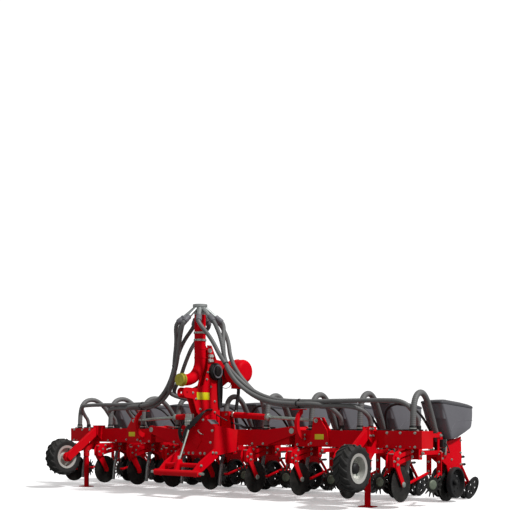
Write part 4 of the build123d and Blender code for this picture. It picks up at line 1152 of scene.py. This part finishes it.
# %% Distributor and air pipe
CUFF = [
    # radius, distance along the outlet
    (0, -72), (30, -72), (40, -66), (41, -52), (38.6, -48), (38.6, -20), (41.5, -16), (41.5, 30), (38.8, 34),
    (38.8, 44), (34, 47), (0, 47),
]
cuffs = []
for index in range(9):
    start = outlet_point(index, -CONNECTOR_PAST)
    cuffs.append(aimed(lathe(CUFF, 20), outlet_point(index, 0) - start, start))
piece("hose_cuffs", join(*cuffs), HOPPER, "centre")
CAP_Z = 2612.0
cap_turn = np.radians(np.arange(20, 360, 40))
cap_bolts = [(88 * math.cos(a), PIPE_Y + 88 * math.sin(a), CAP_Z) for a in cap_turn]
clip_band = lathe([(84.5, -13), (88, -13), (88, 13), (84.5, 13), (84.5, -13)], 40)
clips = [bolts(14, (0, 0, 1), cap_bolts)]
for z in (2135.0, 2235.0):
    clips.append(moved(clip_band, (0, PIPE_Y, z)))
    clips.append(slab(-14, 14, PIPE_Y - 112, PIPE_Y - 84, z - 11, z + 11))
    clips.append(bolts(14, (1, 0, 0), [(14, PIPE_Y - 98, z)]))
piece("pipe_clips", join(*clips), ZINC, "centre")
RIDGE = [
    # radius, distance from the flange
    (79, 22), (84, 22), (84, 30), (79.5, 32), (79.5, 46), (83, 49), (83, 60), (70, 61), (66, 50), (0, 48),
]
ridge = lathe(RIDGE, 36)
piece("coupling_lip", aimed(ridge, (0, -1, 0), (0, -1130, 1583)), CHROMATE, "centre")
saddles = [slab(-60, 60, -722, -688, z, z + 30, 4) for z in (1880, 2000)]
for z in (1895.0, 2015.0):
    saddles.append(moved(lathe([(78.5, -9), (82, -9), (82, 9), (78.5, 9), (78.5, -9)], 40), (0, PIPE_Y, z)))
piece("pipe_saddles", join(*saddles), RED, "centre")

# %% Fan and dials
FAN = (-298.0, 1715.0)
DIALS = [
    # y, z, radius
    (-672, 1995, 31), (-672, 1925, 25), (-628, 1925, 22), (-672, 1862, 25), (-628, 1862, 22),
]
dials = []
for y, z, radius in DIALS:
    face = [(0, 4), (radius - 8, 4), (radius - 6, 7), (radius - 2, 7), (radius, 4), (radius, -20), (0, -20)]
    dials.append(aimed(lathe(face, 24), (1, 0, 0), (83, y, z)))
piece("dials", join(*dials), SILVER, "centre")
flange = lathe([(150, -6), (173, -6), (173, 6), (166, 8), (150, 8)], 48)
screw_turn = np.radians(np.arange(0, 360, 30))
fan_screws = [(262, FAN[0] + 169 * math.cos(a), FAN[1] + 169 * math.sin(a)) for a in screw_turn]
piece("fan_flange", aimed(flange, (1, 0, 0), (256, *FAN)), RED, "centre")
piece("fan_screws", bolts(13, (1, 0, 0), fan_screws), ZINC, "centre")
DRIVE = (60.0, -560.0, 1712.0)
drive = lathe([(0, 78), (52, 78), (64, 72), (68, 60), (96, 58), (110, 50), (116, 36), (116, 0), (0, 0)], 40)
ribs = [lathe([(112, x - 3), (121, x - 2), (121, x + 2), (112, x + 3)], 40) for x in (6, 15, 24, 33)]
piece("fan_drive", aimed(join(drive, *ribs), (1, 0, 0), DRIVE), BLACK, "centre")
ring = lathe([(70, 57), (88, 60), (94, 66), (88, 70), (72, 66), (70, 57)], 40)
piece("drive_ring", aimed(ring, (1, 0, 0), DRIVE), HOPPER, "centre")
FAN_HOSE = [
    (205, -225, 1486), (205, -225, 1400), (190, -250, 1250),
    (185, -262, 1080), (195, -240, 980), (200, -230, BEAM_TOP),
]
piece("fan_hose", line(FAN_HOSE, 24.0, 14), CABLE, "centre")
FAN_LINE = [
    (120, -300, 1628), (150, -310, 1560), (140, -340, 1500),
    (110, -390, 1480), (80, -430, 1500), (60, -440, 1560),
]
piece("fan_line", line(FAN_LINE, 5.0, 8, 8), SILVER, "centre")

# %% [markdown]
# ## Headstock
#
# The headstock's sides are bent outwards in a curve, and a diamond boss stiffens its front. The bend
# could be a bevelled box, but a strip on a smooth plan line, with edges that rise along it, gives the
# rolled look of bent plate. Valve spools, a strut and a handle stand on it, and black lines cross it.

# %% Valve and strut
valve = [rod((x, y, 1055), (x, y, 1128), 11) for x in (-138, -112, -86, -60, -40) for y in (-915, -880)]
valve += [rod((x, -930, z), (x, -952, z), 12) for x in (-125, -90, -55) for z in (990, 1030)]
valve.append(rod((-47, -1145, 505), (-47, -1145, 560), 19))
piece("valve_caps", join(*valve), SILVER, "centre")
STRUT_OUTLINE = [(-1180, 515), (-1120, 520), (-1090, 450), (-1200, 330), (-1250, 345)]
strut = rounded(side_prism(STRUT_OUTLINE, -66, -22), 3)
piece("levelling_strut", strut, RED, "centre")

# %% Headstock flares
FLARE_WALL = 14.0
FLARE_PLAN = [
    # x, y, lowest z, highest z
    (300, -851, 560, 980), (330, -847, 562, 974), (356, -800, 570, 962), (374, -700, 585, 948),
    (386, -580, 602, 926), (390, -452, 620, 908),
]
plan = spline([row[:2] + (0,) for row in FLARE_PLAN])
rise = spline([(row[1], row[2], row[3]) for row in FLARE_PLAN])
inward = np.cross(np.gradient(plan, axis=0), (0, 0, 1))
inward = -FLARE_WALL * inward / np.linalg.norm(inward, axis=1, keepdims=True)
low = np.column_stack([plan[:, :2], rise[:, 1]])
high = np.column_stack([plan[:, :2], rise[:, 2]])
flare = stack(list(np.stack([low, high, high + inward, low + inward], axis=1)))
DIAMOND = [(95, 765), (0, 880), (-95, 765), (0, 650)]
boss_points, boss_faces = prism(DIAMOND, 840, 860)
boss = rounded((boss_points[:, [0, 2, 1]] * (1, -1, 1), boss_faces), 4)
piece("headstock_flares", join(flare, flipped(flare), boss), RED, "centre")

# %% Hydraulic lines
runs = []
for step in (0.0, 22.0, 44.0, 66.0):
    over_the_head = [
        (60, -690 + step, 1180), (100, -700 + step, 1190), (140, -820 - step * 0.3, 1175),
        (70, -915, 1090 - step), (-60, -945, 985 - step), (-170, -930, 880 - step),
        (-225, -885, 790 - step), (-235, -850, 760 - step),
    ]
    runs.append(line(over_the_head, 13.0))
for step in (0.0, 24.0, 48.0):
    from_the_valve = [
        (-150, -890, 1035 - step), (-190 - step, -890, 1035 - step), (-250 - step, -915, 960 - step),
        (-258 - step * 0.6, -905, 860 - step), (-250 - step * 0.6, -885, 800 - step),
        (-245 - step * 0.6, -850, 780 - step),
    ]
    runs.append(line(from_the_valve, 9.0))
for step in (0.0, 24.0, 48.0, 72.0):
    up_the_mast = [
        (75, -480 + step * 0.5, 1210), (78, -500 + step, 1400),
        (82, -505 + step, 1560), (88, -520 + step * 0.8, 1640),
    ]
    runs.append(line(up_the_mast, 12.0))
piece("hydraulic_runs", join(*runs), CABLE, "centre")

# %% Handle and plates
HANDLE = [(40, -850, 905), (42, -884, 902), (75, -892, 880), (112, -884, 850), (116, -850, 847)]
piece("headstock_handle", line(HANDLE, 7.0, 10, 6), ZINC, "centre")
shoulder = rounded(prism([(-75, -48), (75, -48), (75, 48), (-75, 48)], 0, 8), 3)
SHOULDER_WAY = (380.0, 0.0, 485.0)
piece("shoulder_plate", aimed(shoulder, SHOULDER_WAY, (255, -800, 1014)), HOPPER, "centre")
piece("mast_plate", slab(60, 63, -915, -665, 1320, 1420, 1), YELLOW, "centre")
for side, sign in SIDES.items():
    ends = sorted((sign * 1700, sign * 1840))
    plate = slab(*ends, EAR_FACE - 3, EAR_FACE, 795, 862, 1)
    piece(f"ear_plate_{side}", plate, YELLOW, f"wing_{side}")

# %% [markdown]
# ## Cylinders, lines and cables
#
# The fold cylinders have a zinc gland where the rod comes out, and black hydraulic lines run from
# the mast along the beam. Thin black cables arch from row to row. All of them lie on what carries
# them, so they are smooth sweeps along short listed routes.

# %% Cylinder glands
CYLINDER_Y = -385.0
base = np.array([160.0, CYLINDER_Y, 1120.0])
stroke = np.array([1720.0, CYLINDER_Y, 1035.0]) - base
stroke /= np.linalg.norm(stroke)
gland = lathe([(23, -52), (47, -52), (50, -48), (50, -10), (45, -4), (40, 6), (24, 8), (23, 6)], 28)
gland_shape = aimed(gland, stroke, base + stroke * 740.0)
foot_ring = aimed(lathe([(30, 84), (46, 88), (46, 112), (42, 116)], 28), stroke, base)
port_feet = [base + stroke * distance for distance in (140.0, 690.0)]
ports = join(*[rod(port + (0, 0, 38), port + (0, 0, 66), 13) for port in port_feet])
for side, sign in SIDES.items():
    shape = on_side(join(gland_shape, foot_ring, ports), sign)
    piece(f"cylinder_gland_{side}", shape, ZINC, f"fold_barrel_{side}")

# %% Cables and lines
ROW_CABLE = [
    (57, 330, 880),
    (78, 250, 1000),
    (120, 160, 1130),
    (210, 115, 1215),
    (330, 105, 1250),
    (470, 110, 1235),
    (590, 140, 1170),
    (660, 220, 1050),
    (693, 330, 880),
]
for section, rows in SECTIONS.items():
    cables = in_rows(line(ROW_CABLE, 16.0), rows[:-1])
    piece(f"row_cables_{section}", cables, CABLE, CARRIER[section])
LINE_TRACKS = [
    # y on the beam, height over it, end X
    (-250.0, 12.0, 1180.0),
    (-228.0, 12.0, 1010.0),
    (-239.0, 30.0, 880.0),
]
LINE_R = 9.0
tracks = []
for y, rise, end_x in LINE_TRACKS:
    z = BEAM_TOP + rise
    route = [
        (60, -520, 1120), (110, -520, 1090), (200, -400, 1010), (260, y, z + 40),
        (330, y, z), (700, y + 4, z), (end_x - 60, y, z), (end_x, y, z),
    ]
    tracks.append(line(route, LINE_R))
WING_TRACK = [
    # X, sway in y
    (1420, 0), (1800, 5), (2400, -4), (3000, 3), (3150, 0),
]
wing_tracks = []
for y in (-232.0, -252.0):
    wing_tracks.append(line([(x, y + sway, BEAM_TOP + 10) for x, sway in WING_TRACK], LINE_R))
for side, sign in SIDES.items():
    laid = {"beam": (join(*tracks), "centre"), "wing": (join(*wing_tracks), f"wing_{side}")}
    for name, (shape, body) in laid.items():
        piece(f"{name}_lines_{side}", on_side(shape, sign), CABLE, body)

# %% [markdown]
# ## Support wheels' nuts and caps
#
# A disc wheel is held by a ring of nuts round a black cap. They ride on the wheel, so that they turn
# with it.

# %% Wheel nuts
nut_turn = np.radians(90 + 72 * np.arange(5))
nuts = bolts(24, (0, 0, 1), [(92 * math.cos(a), 92 * math.sin(a), 25) for a in nut_turn])
wheel_cap = lathe([(0, 78), (30, 76), (54, 68), (65, 56), (65, 26), (0, 26)], 32)
WHEEL_TRIM = {"wheel_nuts": (nuts, ZINC, "zinc_steel"), "wheel_cap": (wheel_cap, BLACK, "black_plastic")}
for side, sign in SIDES.items():
    for name, (shape, look, slot) in WHEEL_TRIM.items():
        shape = on_side(aimed(shape, (1, 0, 0), WHEEL), sign)
        piece(f"{name}_{side}", shape, look, f"wheel_{side}")
